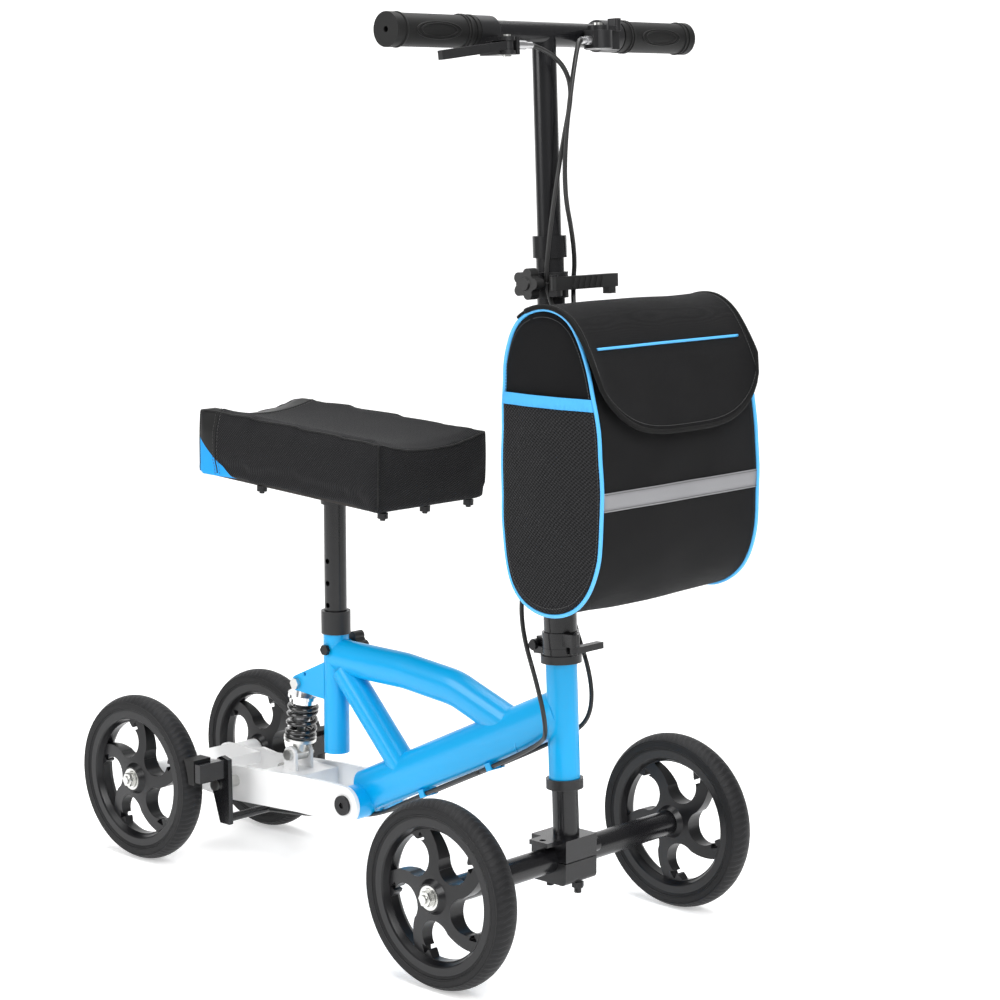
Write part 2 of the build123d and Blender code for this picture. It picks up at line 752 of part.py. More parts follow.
# ---------------------------------------------------------------- rear brake
pad_radius = wheel_radius + pad_gap
pad_z = 122.0
pad_half_height = 15.0
with BuildPart() as brake_yoke:
    for leg_y in (yoke_half + yoke_plate, -yoke_half):
        with BuildSketch(side_view(leg_y)):
            with BuildLine():
                Polyline(
                    (brake_bar[0] - 9, brake_bar[1] - 6),
                    (brake_bar[0] + 8, brake_bar[1] - 6),
                    (brake_bar[0] + 7, pad_z + 15),
                    (brake_bar[0] - 5, pad_z + 18),
                    (brake_bar[0] - 12, pad_z + 15),
                    (brake_pivot[0] - 9, brake_pivot[1]),
                    close=True,
                )
            make_face()
        extrude(amount=yoke_plate)
        spin_y(*brake_pivot, 9.0, leg_y - yoke_plate, leg_y)
    spin_y(*brake_bar, 5.0, -yoke_half, yoke_half)
    # arms that carry the pads in front of the tyres
    with BuildSketch(side_view(rear_half_track + 12)):
        with Locations((brake_bar[0] - 2, pad_z + 4)):
            Rectangle(10, 22)
    extrude(amount=rear_half_track + 12 - yoke_half)
    with BuildSketch(side_view(-yoke_half)):
        with Locations((brake_bar[0] - 2, pad_z + 4)):
            Rectangle(10, 22)
    extrude(amount=rear_half_track + 12 - yoke_half)
    spin_y(*brake_pivot, 4.0 + running_gap, -90, 90, Mode.SUBTRACT)
save(brake_yoke, "brake_yoke")

with BuildPart() as brake_pads:
    for side in (-1, 1):
        with BuildSketch(side_view(side * rear_half_track + 13)):
            with Locations((brake_bar[0] - 7 - 12, pad_z + 4)):
                Rectangle(24, 2 * pad_half_height)
        extrude(amount=26)
    spin_y(rear_axle_x, axle_z, pad_radius, -150, 150, Mode.SUBTRACT)
save(brake_pads, "brake_pads")

# ---------------------------------------------------------------- steering and front axle
axle_tube_radius = 14.0
saddle_half = 25.0
saddle_split = 0.6
saddle_bolt_apart = 20.0
saddle_bolt_radius = 4.0
fold_ear_low = 8.0
fold_ear_high = 13.0
fold_knuckle_half = 7.7
fold_eye_radius = 6.5
fold_pin_radius = 3.0
disc_radius = 20.0

with BuildPart() as steerer:
    column_rod(22, fold_plate_low, steerer_radius)
    column_rod(fold_plate_low, fold_split, disc_radius)
    for ear_y in (fold_ear_low, -fold_ear_high):
        with BuildSketch(column_across(0, ear_y, 0)):
            with Locations((-fold_pin_back, -fold_pin_height)):
                Circle(fold_eye_radius)
            with Locations((-fold_pin_back / 2 - 6, -(fold_plate_low + fold_split) / 2)):
                Rectangle(fold_pin_back - 12, fold_split - fold_plate_low)
        extrude(amount=fold_ear_high - fold_ear_low)
    with Locations((front_axle_x, 0, axle_z + saddle_split + (saddle_half - saddle_split) / 2)):
        Box(2 * saddle_half, 2 * saddle_half, saddle_half - saddle_split)
    with Locations((front_axle_x + 2, -34, axle_z + 22.5)):
        Box(26, 20, 5)
    spin_y(front_axle_x + 16, axle_z + 9, 8.0, 24, 34)
    spin_y(front_axle_x, axle_z, axle_tube_radius, -60, 60, Mode.SUBTRACT)
    column_rod(26, fold_plate_low - 4, steerer_radius - 2.4, Mode.SUBTRACT)
    with BuildSketch(column_across(0, -20, 0)):
        with Locations((-fold_pin_back, -fold_pin_height)):
            Circle(fold_pin_radius + running_gap)
    extrude(amount=40, mode=Mode.SUBTRACT)
    with BuildSketch(Plane.XY.offset(axle_z)):
        with Locations((front_axle_x - saddle_bolt_apart, 0), (front_axle_x + saddle_bolt_apart, 0)):
            Circle(saddle_bolt_radius)
    extrude(amount=16, mode=Mode.SUBTRACT)
    with BuildSketch(Plane.XY.offset(axle_z + 19)):
        with Locations((front_axle_x + 2, -37)):
            Circle(3.5)
    extrude(amount=8, mode=Mode.SUBTRACT)
save(steerer, "steerer")

with BuildPart() as axle_cap:
    with Locations((front_axle_x, 0, axle_z - saddle_split - (saddle_half - saddle_split) / 2)):
        Box(2 * saddle_half, 2 * saddle_half, saddle_half - saddle_split)
    fillet(axle_cap.edges().filter_by(Axis.Y).sort_by(Axis.Z)[:2], 6)
    spin_y(front_axle_x, axle_z, axle_tube_radius, -60, 60, Mode.SUBTRACT)
    with BuildSketch(Plane.XY.offset(axle_z - saddle_half - 1)):
        with Locations((front_axle_x - saddle_bolt_apart, 0), (front_axle_x + saddle_bolt_apart, 0)):
            Circle(saddle_bolt_radius)
    extrude(amount=saddle_half + 2, mode=Mode.SUBTRACT)
save(axle_cap, "axle_cap")

with BuildPart() as saddle_bolts:
    for bolt_x in (front_axle_x - saddle_bolt_apart, front_axle_x + saddle_bolt_apart):
        with BuildSketch(Plane.XY.offset(axle_z - saddle_half - 6)):
            with Locations((bolt_x, 0)):
                RegularPolygon(6.8, 6)
        extrude(amount=6)
        with BuildSketch(Plane.XY.offset(axle_z - saddle_half - 12)):
            with Locations((bolt_x, 0)):
                Circle(saddle_bolt_radius)
        extrude(amount=saddle_half + 27)
save(saddle_bolts, "saddle_bolts")

with BuildPart() as front_axle_tube:
    spin_y(front_axle_x, axle_z, axle_tube_radius, -front_tube_end, front_tube_end)
    spin_y(front_axle_x, axle_z, axle_bolt_radius, -front_tube_end - 1, front_tube_end + 1, Mode.SUBTRACT)
    spin_y(front_axle_x, axle_z, 12.0, -front_tube_end + 30, front_tube_end - 30, Mode.SUBTRACT)
save(front_axle_tube, "front_axle_tube")

# ---------------------------------------------------------------- folding column
column_bore = column_radius - column_wall
knob_height = 619.0
knob_stand = 27.3
knob_stud = 3.9
lever_pin_at = (24.3, -22.0)
lever_low = 611.5
lever_high = 625.5
lever_inner = 19.3
lever_outer = 29.3
latch_pin_at = (26.0, -8.0)
latch_low = 226.0
latch_high = 233.0
latch_half = 5.0

with BuildPart() as column_tube:
    column_rod(fold_split + rest_gap, foot_high, foot_radius)
    column_rod(foot_high, sleeve_high, sleeve_radius)
    column_rod(sleeve_high, column_high, column_radius)
    with BuildSketch(column_across(0, -fold_knuckle_half, 0)):
        with Locations((-fold_pin_back, -fold_pin_height)):
            Circle(fold_eye_radius)
        with Locations((-fold_pin_back / 2 - 6, -fold_split - rest_gap - 5)):
            Rectangle(fold_pin_back - 12, 10)
    extrude(amount=2 * fold_knuckle_half)
    with BuildSketch(steer.offset(latch_high + rest_gap)):
        with Locations((latch_pin_at[0] - 4.5, latch_pin_at[1])):
            RectangleRounded(19, 12, 4)
    extrude(amount=foot_high - latch_high - rest_gap)
    column_rod(250, column_high + 1, column_bore, Mode.SUBTRACT)
    with BuildSketch(column_across(0, -20, 0)):
        with Locations((-fold_pin_back, -fold_pin_height)):
            Circle(fold_pin_radius)
    extrude(amount=40, mode=Mode.SUBTRACT)
    with BuildSketch(steer.offset(latch_high - 2)):
        with Locations(latch_pin_at):
            Circle(2.5)
    extrude(amount=10, mode=Mode.SUBTRACT)
    with BuildSketch(column_across(0, -20, 0)):
        with Locations((0, -knob_height)):
            Circle(knob_stud + rest_gap)
    extrude(amount=14, mode=Mode.SUBTRACT)
save(column_tube, "column_tube")

with BuildPart() as column_collar:
    column_rod(collar_low, collar_high, sleeve_radius)
    column_rod(collar_low - 1, column_high, column_radius, Mode.SUBTRACT)
    column_rod(column_high - 1, collar_high + 1, stem_radius + slide_gap, Mode.SUBTRACT)
    fillet(column_collar.edges().filter_by(GeomType.CIRCLE).sort_by(Axis.Z)[-1], 1.5)
save(column_collar, "column_collar")

with BuildPart() as clamp_band:
    column_rod(band_low - 3, band_high, sleeve_radius + 0.5)
    with BuildSketch(column_across(0, -knob_stand + rest_gap, 0)):
        with Locations((0, -knob_height)):
            Circle(8.0)
    extrude(amount=14)
    with BuildSketch(steer.offset(band_low - 0.5)):
        with BuildLine():
            Polyline((12, -13), (21.5, -27), (29.3, -24), (28, -16), (20, -4), (14, -4), close=True)
        make_face()
    extrude(amount=lever_low - rest_gap - band_low + 0.5)
    column_rod(band_low - 4, band_high + 1, column_radius, Mode.SUBTRACT)
    with BuildSketch(column_across(0, -knob_stand - 1, 0)):
        with Locations((0, -knob_height)):
            Circle(knob_stud + running_gap)
    extrude(amount=16, mode=Mode.SUBTRACT)
    with BuildSketch(steer.offset(band_low - 4)):
        with Locations(lever_pin_at):
            Circle(fold_pin_radius)
    extrude(amount=12, mode=Mode.SUBTRACT)
    with BuildSketch(steer.offset(band_low - 4)):
        with Locations((sleeve_radius - 1, 9)):
            Rectangle(12, 1.6)
    extrude(amount=40, mode=Mode.SUBTRACT)
save(clamp_band, "clamp_band")

knob_face = Plane(origin=on_column(0, -knob_stand, knob_height), x_dir=steer.x_dir, z_dir=(0, -1, 0))
height_knob = star_knob(knob_face, knob_stud, knob_stand - stem_radius - rest_gap, 17.0, 12.0)
save(height_knob, "height_lock_knob")

rib_count = 6
with BuildPart() as clamp_lever:
    with BuildSketch(steer.offset(lever_low)):
        with Locations(lever_pin_at):
            Circle(5.0)
        with Locations(((lever_inner + lever_outer) / 2, (75 + lever_pin_at[1]) / 2)):
            Rectangle(lever_outer - lever_inner, 75 - lever_pin_at[1])
    extrude(amount=lever_high - lever_low)
    with BuildSketch(steer.offset(lever_low - 7)):
        with Locations(((lever_inner + lever_outer) / 2, 66)):
            RectangleRounded(lever_outer - lever_inner, 12, 2)
    extrude(amount=8)
    rib_face = Plane(origin=on_column(lever_outer, 0, 0), x_dir=(0, 1, 0), z_dir=steer.x_dir)
    for i in range(rib_count):
        with BuildSketch(rib_face):
            with Locations((4 + i * 9, (lever_low + lever_high) / 2)):
                Rectangle(3.4, 11, rotation=-20)
        extrude(amount=1.4)
    with BuildSketch(steer.offset(lever_low - 1)):
        with Locations(lever_pin_at):
            Circle(fold_pin_radius + running_gap)
    extrude(amount=20, mode=Mode.SUBTRACT)
save(clamp_lever, "clamp_lever")

with BuildPart() as fold_lever:
    with BuildSketch(steer.offset(latch_low)):
        with Locations(latch_pin_at):
            Circle(latch_half)
        with Locations((latch_pin_at[0], (34 + latch_pin_at[1]) / 2)):
            Rectangle(2 * latch_half, 34 - latch_pin_at[1])
    extrude(amount=latch_high - latch_low)
    with BuildSketch(steer.offset(latch_low - 1)):
        with Locations(latch_pin_at):
            Circle(2.5 + running_gap)
    extrude(amount=20, mode=Mode.SUBTRACT)
save(fold_lever, "fold_lever")

with BuildPart() as column_pins:
    for low, high, radius in (
        (-15.5, 15.5, fold_pin_radius),
        (-15.5, -fold_ear_high - rest_gap, 5.0),
        (fold_ear_high + rest_gap, 15.5, 5.0),
    ):
        with BuildSketch(column_across(0, low, 0)):
            with Locations((-fold_pin_back, -fold_pin_height)):
                Circle(radius)
        extrude(amount=high - low)
    column_rod(latch_low - 2, latch_high + 8, 2.5, Mode.ADD, *latch_pin_at)
    column_rod(latch_low - 2, latch_low - rest_gap, 4.0, Mode.ADD, *latch_pin_at)
    column_rod(band_low - 1, lever_high + 2, fold_pin_radius, Mode.ADD, *lever_pin_at)
    column_rod(lever_high + rest_gap, lever_high + 2.3, 4.6, Mode.ADD, *lever_pin_at)
save(column_pins, "column_pins")

# ---------------------------------------------------------------- handlebar
with BuildPart() as t_bar:
    column_rod(stem_low, bar_height, stem_radius)
    with BuildSketch(column_across(0, -bar_half, 0)):
        with Locations((0, -bar_height)):
            Circle(bar_radius)
    extrude(amount=2 * bar_half)
    column_rod(stem_low - 1, bar_height - 4, stem_radius - tube_wall, Mode.SUBTRACT)
    with BuildSketch(column_across(0, -bar_half - 1, 0)):
        with Locations((0, -bar_height)):
            Circle(bar_radius - tube_wall)
    extrude(amount=2 * bar_half + 2, mode=Mode.SUBTRACT)
save(t_bar, "t_bar")


def bar_disc(low, high, radius, mode=Mode.ADD, forward=0.0, height=bar_height):
    """A round length parallel to the handlebar, inside the piece being built."""
    with BuildSketch(column_across(0, low, 0), mode=Mode.PRIVATE) as disc:
        with Locations((forward, -height)):
            Circle(radius)
    extrude(disc.sketch, amount=high - low, mode=mode)


with BuildPart() as grips:
    for side in (-1, 1):
        for start, end, radius in (
            (grip_end - grip_length, grip_end - 1.5, grip_radius),
            (grip_end - grip_length - 1, grip_end - grip_length + 4, grip_flare),
            (grip_end - 9, grip_end, grip_flare),
        ):
            low, high = sorted((side * start, side * end))
            bar_disc(low, high, radius)
        low, high = sorted((side * 90, side * bar_half))
        bar_disc(low, high, bar_radius, Mode.SUBTRACT)
        low, high = sorted((side * 200, side * 240))
        bar_disc(low, high, 3.0, Mode.SUBTRACT)
save(grips, "grips")

perch_low = 83.0
perch_high = 110.5
perch_radius = 17.0
brake_pin_at = (33.0, -93.0)
park_pin_at = (26.0, 56.0)
park_drum = 15.0
with BuildPart() as lever_perches:
    bar_disc(-perch_high, -perch_low, perch_radius)
    for low, high in ((852.0, 856.0), (866.0, 870.0)):
        with BuildSketch(steer.offset(low)):
            with Locations(((brake_pin_at[0] + 6) / 2, brake_pin_at[1] - 1)):
                Rectangle(brake_pin_at[0] - 6, 20)
            with Locations(brake_pin_at):
                Circle(9.0)
        extrude(amount=high - low)
    with BuildSketch(steer.offset(852)):
        with Locations((14, brake_pin_at[1] + 1)):
            Rectangle(16, 20)
        with Locations((33, -83.25)):
            Rectangle(14, 4.5)
    extrude(amount=18)
    bar_disc(perch_low, perch_high, perch_radius)
    with BuildSketch(steer.offset(861)):
        with Locations((15, 76)):
            Rectangle(20, 32)
        with Locations(park_pin_at):
            Circle(park_drum)
        with Locations((30, 44)):
            Rectangle(12, 12)
    extrude(amount=18.7)
    bar_disc(-130, 130, bar_radius, Mode.SUBTRACT)
    for pin_at in (brake_pin_at, park_pin_at):
        with BuildSketch(steer.offset(840)):
            with Locations(pin_at):
                Circle(fold_pin_radius)
        extrude(amount=60, mode=Mode.SUBTRACT)
    bar_disc(-84.1, -80, cable_radius, Mode.SUBTRACT, 33.0, 862.0)
save(lever_perches, "lever_perches")

with BuildPart() as lever_pins:
    column_rod(850, 872, fold_pin_radius, Mode.ADD, *brake_pin_at)
    column_rod(870, 872, 4.5, Mode.ADD, *brake_pin_at)
    column_rod(850, 852, 4.5, Mode.ADD, *brake_pin_at)
    column_rod(861, 888, fold_pin_radius, Mode.ADD, *park_pin_at)
    column_rod(885.5, 888, 5.0, Mode.ADD, *park_pin_at)
save(lever_pins, "lever_pins")

with BuildPart() as cable_adjusters:
    bar_disc(-81.0, -66.0, 4.6, Mode.ADD, 33.0, 862.0)
    bar_disc(-66.0, -56.0, 3.4, Mode.ADD, 33.0, 862.0)
    bar_disc(31.0, 38.0, 4.6, Mode.ADD, 30.0, 869.0)
    bar_disc(24.0, 31.0, 3.4, Mode.ADD, 30.0, 869.0)
save(cable_adjusters, "cable_adjusters")

blade_drop = radians(6.5)
blade_normal = (steer.z_dir * cos(blade_drop) - Vector(0, 1, 0) * sin(blade_drop)).normalized()
blade_plane = Plane(origin=on_column(*brake_pin_at, 861), x_dir=steer.x_dir, z_dir=blade_normal)
with BuildPart() as right_brake_lever:
    column_rod(856.3, 865.7, 7.0, Mode.ADD, *brake_pin_at)
    with BuildSketch(blade_plane.offset(-4.6)):
        with BuildLine():
            Polyline(
                (5.5, 3), (4.5, -30), (6, -62), (9, -92), (7, -101), (2, -102),
                (-1, -95), (-3, -62), (-4.5, -30), (-3, -6), close=True,
            )
        make_face()
    extrude(amount=9.2)
    with BuildSketch(steer.offset(865.7)):
        with Locations(brake_pin_at):
            Rectangle(30, 30)
    extrude(amount=10, mode=Mode.SUBTRACT)
    with BuildSketch(steer.offset(846.3)):
        with Locations(brake_pin_at):
            Rectangle(30, 30)
    extrude(amount=10, mode=Mode.SUBTRACT)
    column_rod(840, 880, fold_pin_radius + running_gap, Mode.SUBTRACT, *brake_pin_at)
save(right_brake_lever, "right_brake_lever")

with BuildPart() as left_parking_lever:
    with BuildSketch(steer.offset(880)):
        with Locations(park_pin_at):
            Circle(11.0)
        with Locations((park_pin_at[0], park_pin_at[1] + 15)):
            Rectangle(12, 30)
    extrude(amount=5)
    with BuildSketch(steer.offset(880)):
        with Locations((park_pin_at[0], park_pin_at[1] + 27)):
            RectangleRounded(14, 9, 3)
    extrude(amount=13)
    column_rod(870, 890, fold_pin_radius + running_gap, Mode.SUBTRACT, *park_pin_at)
save(left_parking_lever, "left_parking_lever")

# ---------------------------------------------------------------- bag
bag_front = front_axle_x + bag_reach
bag_profile = [
    (bag_back, bag_low + 8),
    (bag_front - 14, bag_low),
    (bag_front, bag_low + 32),
    (bag_front - 2, bag_low + 132),
    (bag_front - 27, bag_low + 268),
    (bag_front - 42, bag_high - 12),
    (bag_back + 44, bag_high - 6),
    (bag_back, bag_high - 15),
]
bag_cloth = 3.0


def bag_side(grow):
    """The bag's side profile, grown outwards by a given distance."""
    with BuildSketch(mode=Mode.PRIVATE) as profile:
        with BuildLine():
            Polyline(*bag_profile, close=True)
        make_face()
        fillet(profile.vertices(), 9)
        if grow:
            offset(amount=grow)
    return profile.sketch


with BuildPart() as bag_body:
    with BuildSketch(side_view(bag_half - 2)):
        add(bag_side(0))
    extrude(amount=2 * bag_half - 4)
    with BuildSketch(side_view(bag_half - 2 - bag_cloth)):
        add(bag_side(-bag_cloth))
    extrude(amount=2 * (bag_half - 2 - bag_cloth), mode=Mode.SUBTRACT)
    with Locations((bag_back + 56, 0, bag_high)):
        Box(70, 2 * bag_half - 24, 40, mode=Mode.SUBTRACT)
save(bag_body, "bag_body")

flap_hinge = (bag_back + 5, bag_high - 14)
flap_low = 578.0
with BuildPart() as bag_flap:
    with BuildSketch(side_view(bag_half)):
        add(bag_side(flap_gap + flap_thick))
        add(bag_side(flap_gap), mode=Mode.SUBTRACT)
        with Locations((bag_back - 45, bag_high)):
            Rectangle(100, 400, mode=Mode.SUBTRACT)
        with Locations((bag_front, flap_low - 200)):
            Rectangle(400, 400, mode=Mode.SUBTRACT)
    extrude(amount=2 * bag_half)
    with BuildSketch(Plane(origin=(bag_front - 60, 0, 0), x_dir=(0, 1, 0), z_dir=(1, 0, 0))):
        with BuildLine():
            Polyline(
                (-bag_half - 1, flap_low + 75),
                (-bag_half + 12, flap_low + 34),
                (-bag_half + 42, flap_low + 9),
                (-20, flap_low - 1),
                (-bag_half - 1, flap_low - 6),
                close=True,
            )
        make_face()
        mirror(about=Plane.YZ)
    extrude(amount=120, mode=Mode.SUBTRACT)
save(bag_flap, "bag_flap")

strap_wall = 1.6
strap_height = 25.0
with BuildPart() as bag_straps:
    for strap_h in (380.0, 560.0):
        middle = on_column(0, 0, strap_h)
        with BuildSketch(Plane.XY.offset(middle.Z - strap_height / 2)):
            reach = bag_back - middle.X
            with Locations((middle.X, 0)):
                Circle(column_radius + 1 + strap_wall)
            with Locations((middle.X + reach / 2, 0)):
                Rectangle(reach, 2 * (column_radius + 1 + strap_wall))
            with Locations((middle.X, 0)):
                Circle(column_radius + 1, mode=Mode.SUBTRACT)
            with Locations((middle.X + reach / 2 - strap_wall / 2, 0)):
                Rectangle(reach - strap_wall, 2 * (column_radius + 1), mode=Mode.SUBTRACT)
        extrude(amount=strap_height)
save(bag_straps, "bag_straps")

# ---------------------------------------------------------------- brake cables
def under_tube(along, side):
    """A cable's place under the down tube."""
    return down_plane.from_local_coords(Vector(side * cable_apart, -cable_drop, along * down_length))


def build_cable(side, upper, upper_radii):
    """One brake cable: from its lever, down behind the bag, under the down tube to the yoke."""
    lower = [
        Vector(225, side * 40, 392),
        Vector(286, side * 44, 252),
        under_tube(0.865, side),
        under_tube(0.26, side),
        Vector(pivot_x - 3, side * cable_apart, pivot_z - pivot_sleeve_radius - 8),
        Vector(brake_bar[0] + 5.0 + rest_gap, side * cable_apart, brake_bar[1]),
    ]
    with BuildPart() as cable:
        with BuildLine() as path:
            route = FilletPolyline(*upper, *lower, radius=upper_radii + [24, 22, 30, 60, 60])
        with BuildSketch(Plane(origin=path.line @ 0, z_dir=path.line % 0)):
            Circle(cable_radius)
        sweep(path=path.line)
    straight = pi * cable_radius**2 * route.length
    print(f"cable {side}: volume against section times length {cable.part.volume / straight:.4f}")
    return cable


right_upper = [
    on_column(33, -56 + 2 * rest_gap, 862),
    Vector(264, 22, 949),
    Vector(263, -6, 845),
    Vector(261, -20, 765),
    Vector(257.5, -21.5, 710),
    Vector(274, -8, 668),
    Vector(280, -11, 470),
]
left_upper = [
    on_column(30, 24 - cable_tip_gap, 869),
    Vector(273, 8, 963),
    Vector(272, -13, 830),
    Vector(264, 19, 752),
    Vector(258, 21.5, 710),
    Vector(274, 8, 668),
    Vector(280, 11, 470),
]
save(build_cable(-1, right_upper, [18, 60, 80, 35, 35, 30]), "right_brake_cable")
save(build_cable(1, left_upper, [8, 60, 60, 35, 35, 30]), "left_brake_cable")
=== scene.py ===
"""The looks of the folding knee scooter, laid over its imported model.

Sizes here are in millimetres and mm() turns them into metres.
"""

import math

import bmesh
import bpy
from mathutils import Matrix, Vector, noise
from mathutils.bvhtree import BVHTree


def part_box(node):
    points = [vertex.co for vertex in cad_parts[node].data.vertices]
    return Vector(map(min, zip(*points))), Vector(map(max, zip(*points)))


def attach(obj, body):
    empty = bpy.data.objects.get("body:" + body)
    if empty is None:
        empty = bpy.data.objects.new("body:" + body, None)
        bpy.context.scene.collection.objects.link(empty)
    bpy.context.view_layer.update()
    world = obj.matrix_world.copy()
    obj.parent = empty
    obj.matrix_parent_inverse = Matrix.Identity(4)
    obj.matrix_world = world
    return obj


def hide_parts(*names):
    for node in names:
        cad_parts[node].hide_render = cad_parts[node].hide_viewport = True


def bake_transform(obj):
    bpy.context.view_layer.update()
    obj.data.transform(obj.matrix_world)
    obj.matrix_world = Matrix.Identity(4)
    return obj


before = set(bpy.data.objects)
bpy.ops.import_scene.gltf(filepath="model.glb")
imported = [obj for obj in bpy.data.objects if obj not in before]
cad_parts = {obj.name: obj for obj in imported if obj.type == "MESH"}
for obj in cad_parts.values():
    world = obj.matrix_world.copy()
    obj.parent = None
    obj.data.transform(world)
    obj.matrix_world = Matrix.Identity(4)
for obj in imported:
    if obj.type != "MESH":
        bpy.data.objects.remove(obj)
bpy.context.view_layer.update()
scene = bpy.context.scene
scene.view_settings.view_transform = "Standard"


def mm(*point):
    return Vector(point) / 1000


# ---------------------------------------------------------------- camera, floor and light
view_line = Vector((-0.6740, 0.7234, -0.1499))
camera = bpy.data.objects.new("camera", bpy.data.cameras.new("camera"))
camera.data.lens = 91.7
camera.data.sensor_width = 36.0
camera.data.clip_end = 50.0
camera.location = mm(2037.0, -2000.4, 893.8)
camera.rotation_mode = "QUATERNION"
camera.rotation_quaternion = view_line.to_track_quat("-Z", "Y")
scene.collection.objects.link(camera)
scene.camera = camera


def mesh_object(name, points, faces, materials, smooth=True):
    """Makes one object at the origin from points in metres."""
    mesh = bpy.data.meshes.new(name)
    mesh.from_pydata([tuple(point) for point in points], [], faces)
    mesh.validate()
    for material in materials:
        mesh.materials.append(material)
    if smooth:
        mesh.shade_smooth()
    made = bpy.data.objects.new(name, mesh)
    scene.collection.objects.link(made)
    return made


def soft_light(name, place, aim, size, power):
    lamp = bpy.data.lights.new(name, "AREA")
    lamp.size = size
    lamp.energy = power
    made = bpy.data.objects.new(name, lamp)
    made.location = place
    made.rotation_euler = (Vector(aim) - Vector(place)).to_track_quat("-Z", "Y").to_euler()
    scene.collection.objects.link(made)


soft_light("key_light", (2.6, -1.0, 2.6), (0, 0, 0.4), 2.0, 95)
soft_light("side_light", (-1.2, -3.0, 1.8), (0, 0, 0.4), 1.8, 55)
soft_light("top_light", (-0.2, 0.3, 3.2), (0, 0, 0), 2.6, 90)

world = bpy.data.worlds.new("studio")
world.use_nodes = True
world.node_tree.nodes["Background"].inputs["Color"].default_value = (1, 1, 1, 1)
scene.world = world


# ---------------------------------------------------------------- shader helpers
def put(tree, kind, *sources, **settings):
    """Adds a node and feeds its sockets in order; None leaves a socket alone."""
    made = tree.nodes.new(kind)
    for name, value in settings.items():
        setattr(made, name, value)
    for socket, source in zip(made.inputs, sources):
        if isinstance(source, bpy.types.NodeSocket):
            tree.links.new(source, socket)
        elif source is not None:
            socket.default_value = source
    return made


def sum_up(tree, operation, *sources):
    """The result of one step of arithmetic between shader values."""
    return put(tree, "ShaderNodeMath", *sources, operation=operation).outputs[0]


# The studio's walls look white, but only a little of their light falls on the scooter.
wall_light = 0.28
seen = put(world.node_tree, "ShaderNodeLightPath").outputs["Is Camera Ray"]
wall_glow = sum_up(world.node_tree, "MULTIPLY_ADD", seen, 1 - wall_light, wall_light)
world.node_tree.links.new(wall_glow, world.node_tree.nodes["Background"].inputs["Strength"])


# ---------------------------------------------------------------- shader groups
def start_group(name, inputs, outputs):
    group = bpy.data.node_groups.new(name, "ShaderNodeTree")
    for label, value in inputs:
        kind = "NodeSocketVector" if isinstance(value, tuple) else "NodeSocketFloat"
        socket = group.interface.new_socket(label, in_out="INPUT", socket_type=kind)
        socket.default_value = value
    for label in outputs:
        group.interface.new_socket(label, in_out="OUTPUT", socket_type="NodeSocketFloat")
    return group, group.nodes.new("NodeGroupInput").outputs, group.nodes.new("NodeGroupOutput")


def grain_group():
    """Fine and coarse grain: a height for a bump and a shade for the colour."""
    tree, given, result = start_group(
        "fine_grain", [("Scale", 900.0), ("Spread", 0.12)], ["Height", "Shade"]
    )
    place = put(tree, "ShaderNodeTexCoord").outputs["Object"]
    fine = put(tree, "ShaderNodeTexNoise", place, None, given["Scale"], 3.0)
    coarse = put(tree, "ShaderNodeTexNoise", place, None, 14.0, 4.0)
    mottled = sum_up(tree, "SUBTRACT", coarse.outputs[0], 0.5)
    shade = sum_up(tree, "MULTIPLY_ADD", mottled, given["Spread"], 1.0)
    tree.links.new(fine.outputs[0], result.inputs["Height"])
    tree.links.new(shade, result.inputs["Shade"])
    return tree


def wear_group():
    """Rubbed edges: a mask that is 1 where a corner is sharp and the noise lets it show."""
    tree, given, result = start_group(
        "edge_wear", [("Radius", 0.0008), ("Amount", 0.5)], ["Mask"]
    )
    rounded = put(tree, "ShaderNodeBevel", given["Radius"], samples=4).outputs[0]
    flat = put(tree, "ShaderNodeNewGeometry").outputs["Normal"]
    facing = put(tree, "ShaderNodeVectorMath", rounded, flat, operation="DOT_PRODUCT")
    sharp = sum_up(tree, "SUBTRACT", 1.0, facing.outputs["Value"])
    place = put(tree, "ShaderNodeTexCoord").outputs["Object"]
    patch = put(tree, "ShaderNodeTexNoise", place, None, 60.0, 5.0).outputs[0]
    worn = sum_up(tree, "MULTIPLY", sum_up(tree, "MULTIPLY", sharp, patch), given["Amount"])
    clipped = put(tree, "ShaderNodeClamp", sum_up(tree, "MULTIPLY", worn, 4.0)).outputs[0]
    tree.links.new(clipped, result.inputs["Mask"])
    return tree


def weave_group():
    """Threads that cross: each face takes the two directions that lie in it."""
    tree, given, result = start_group(
        "woven_threads", [("Pitch", 0.0016), ("Slant", 0.0)], ["Height", "Shade"]
    )
    coord = put(tree, "ShaderNodeTexCoord")
    step = sum_up(tree, "DIVIDE", math.tau, given["Pitch"])
    turned = put(
        tree, "ShaderNodeVectorRotate", coord.outputs["Object"], None, (0.35, 0.2, 1.0),
        given["Slant"],
    )
    scaled = put(tree, "ShaderNodeVectorMath", turned.outputs[0], operation="SCALE")
    tree.links.new(step, scaled.inputs["Scale"])
    axes = put(tree, "ShaderNodeSeparateXYZ", scaled.outputs[0]).outputs
    waves = [sum_up(tree, "SINE", axis) for axis in axes]
    normal = put(tree, "ShaderNodeSeparateXYZ", coord.outputs["Normal"]).outputs
    height = 0.0
    for across, first, second in ((0, 1, 2), (1, 0, 2), (2, 0, 1)):
        weight = sum_up(tree, "POWER", sum_up(tree, "ABSOLUTE", normal[across]), 2.0)
        crossing = sum_up(tree, "MULTIPLY", waves[first], waves[second])
        height = sum_up(tree, "MULTIPLY_ADD", weight, crossing, height)
    shade = sum_up(tree, "MULTIPLY_ADD", height, 0.5, 0.5)
    tree.links.new(height, result.inputs["Height"])
    tree.links.new(shade, result.inputs["Shade"])
    return tree


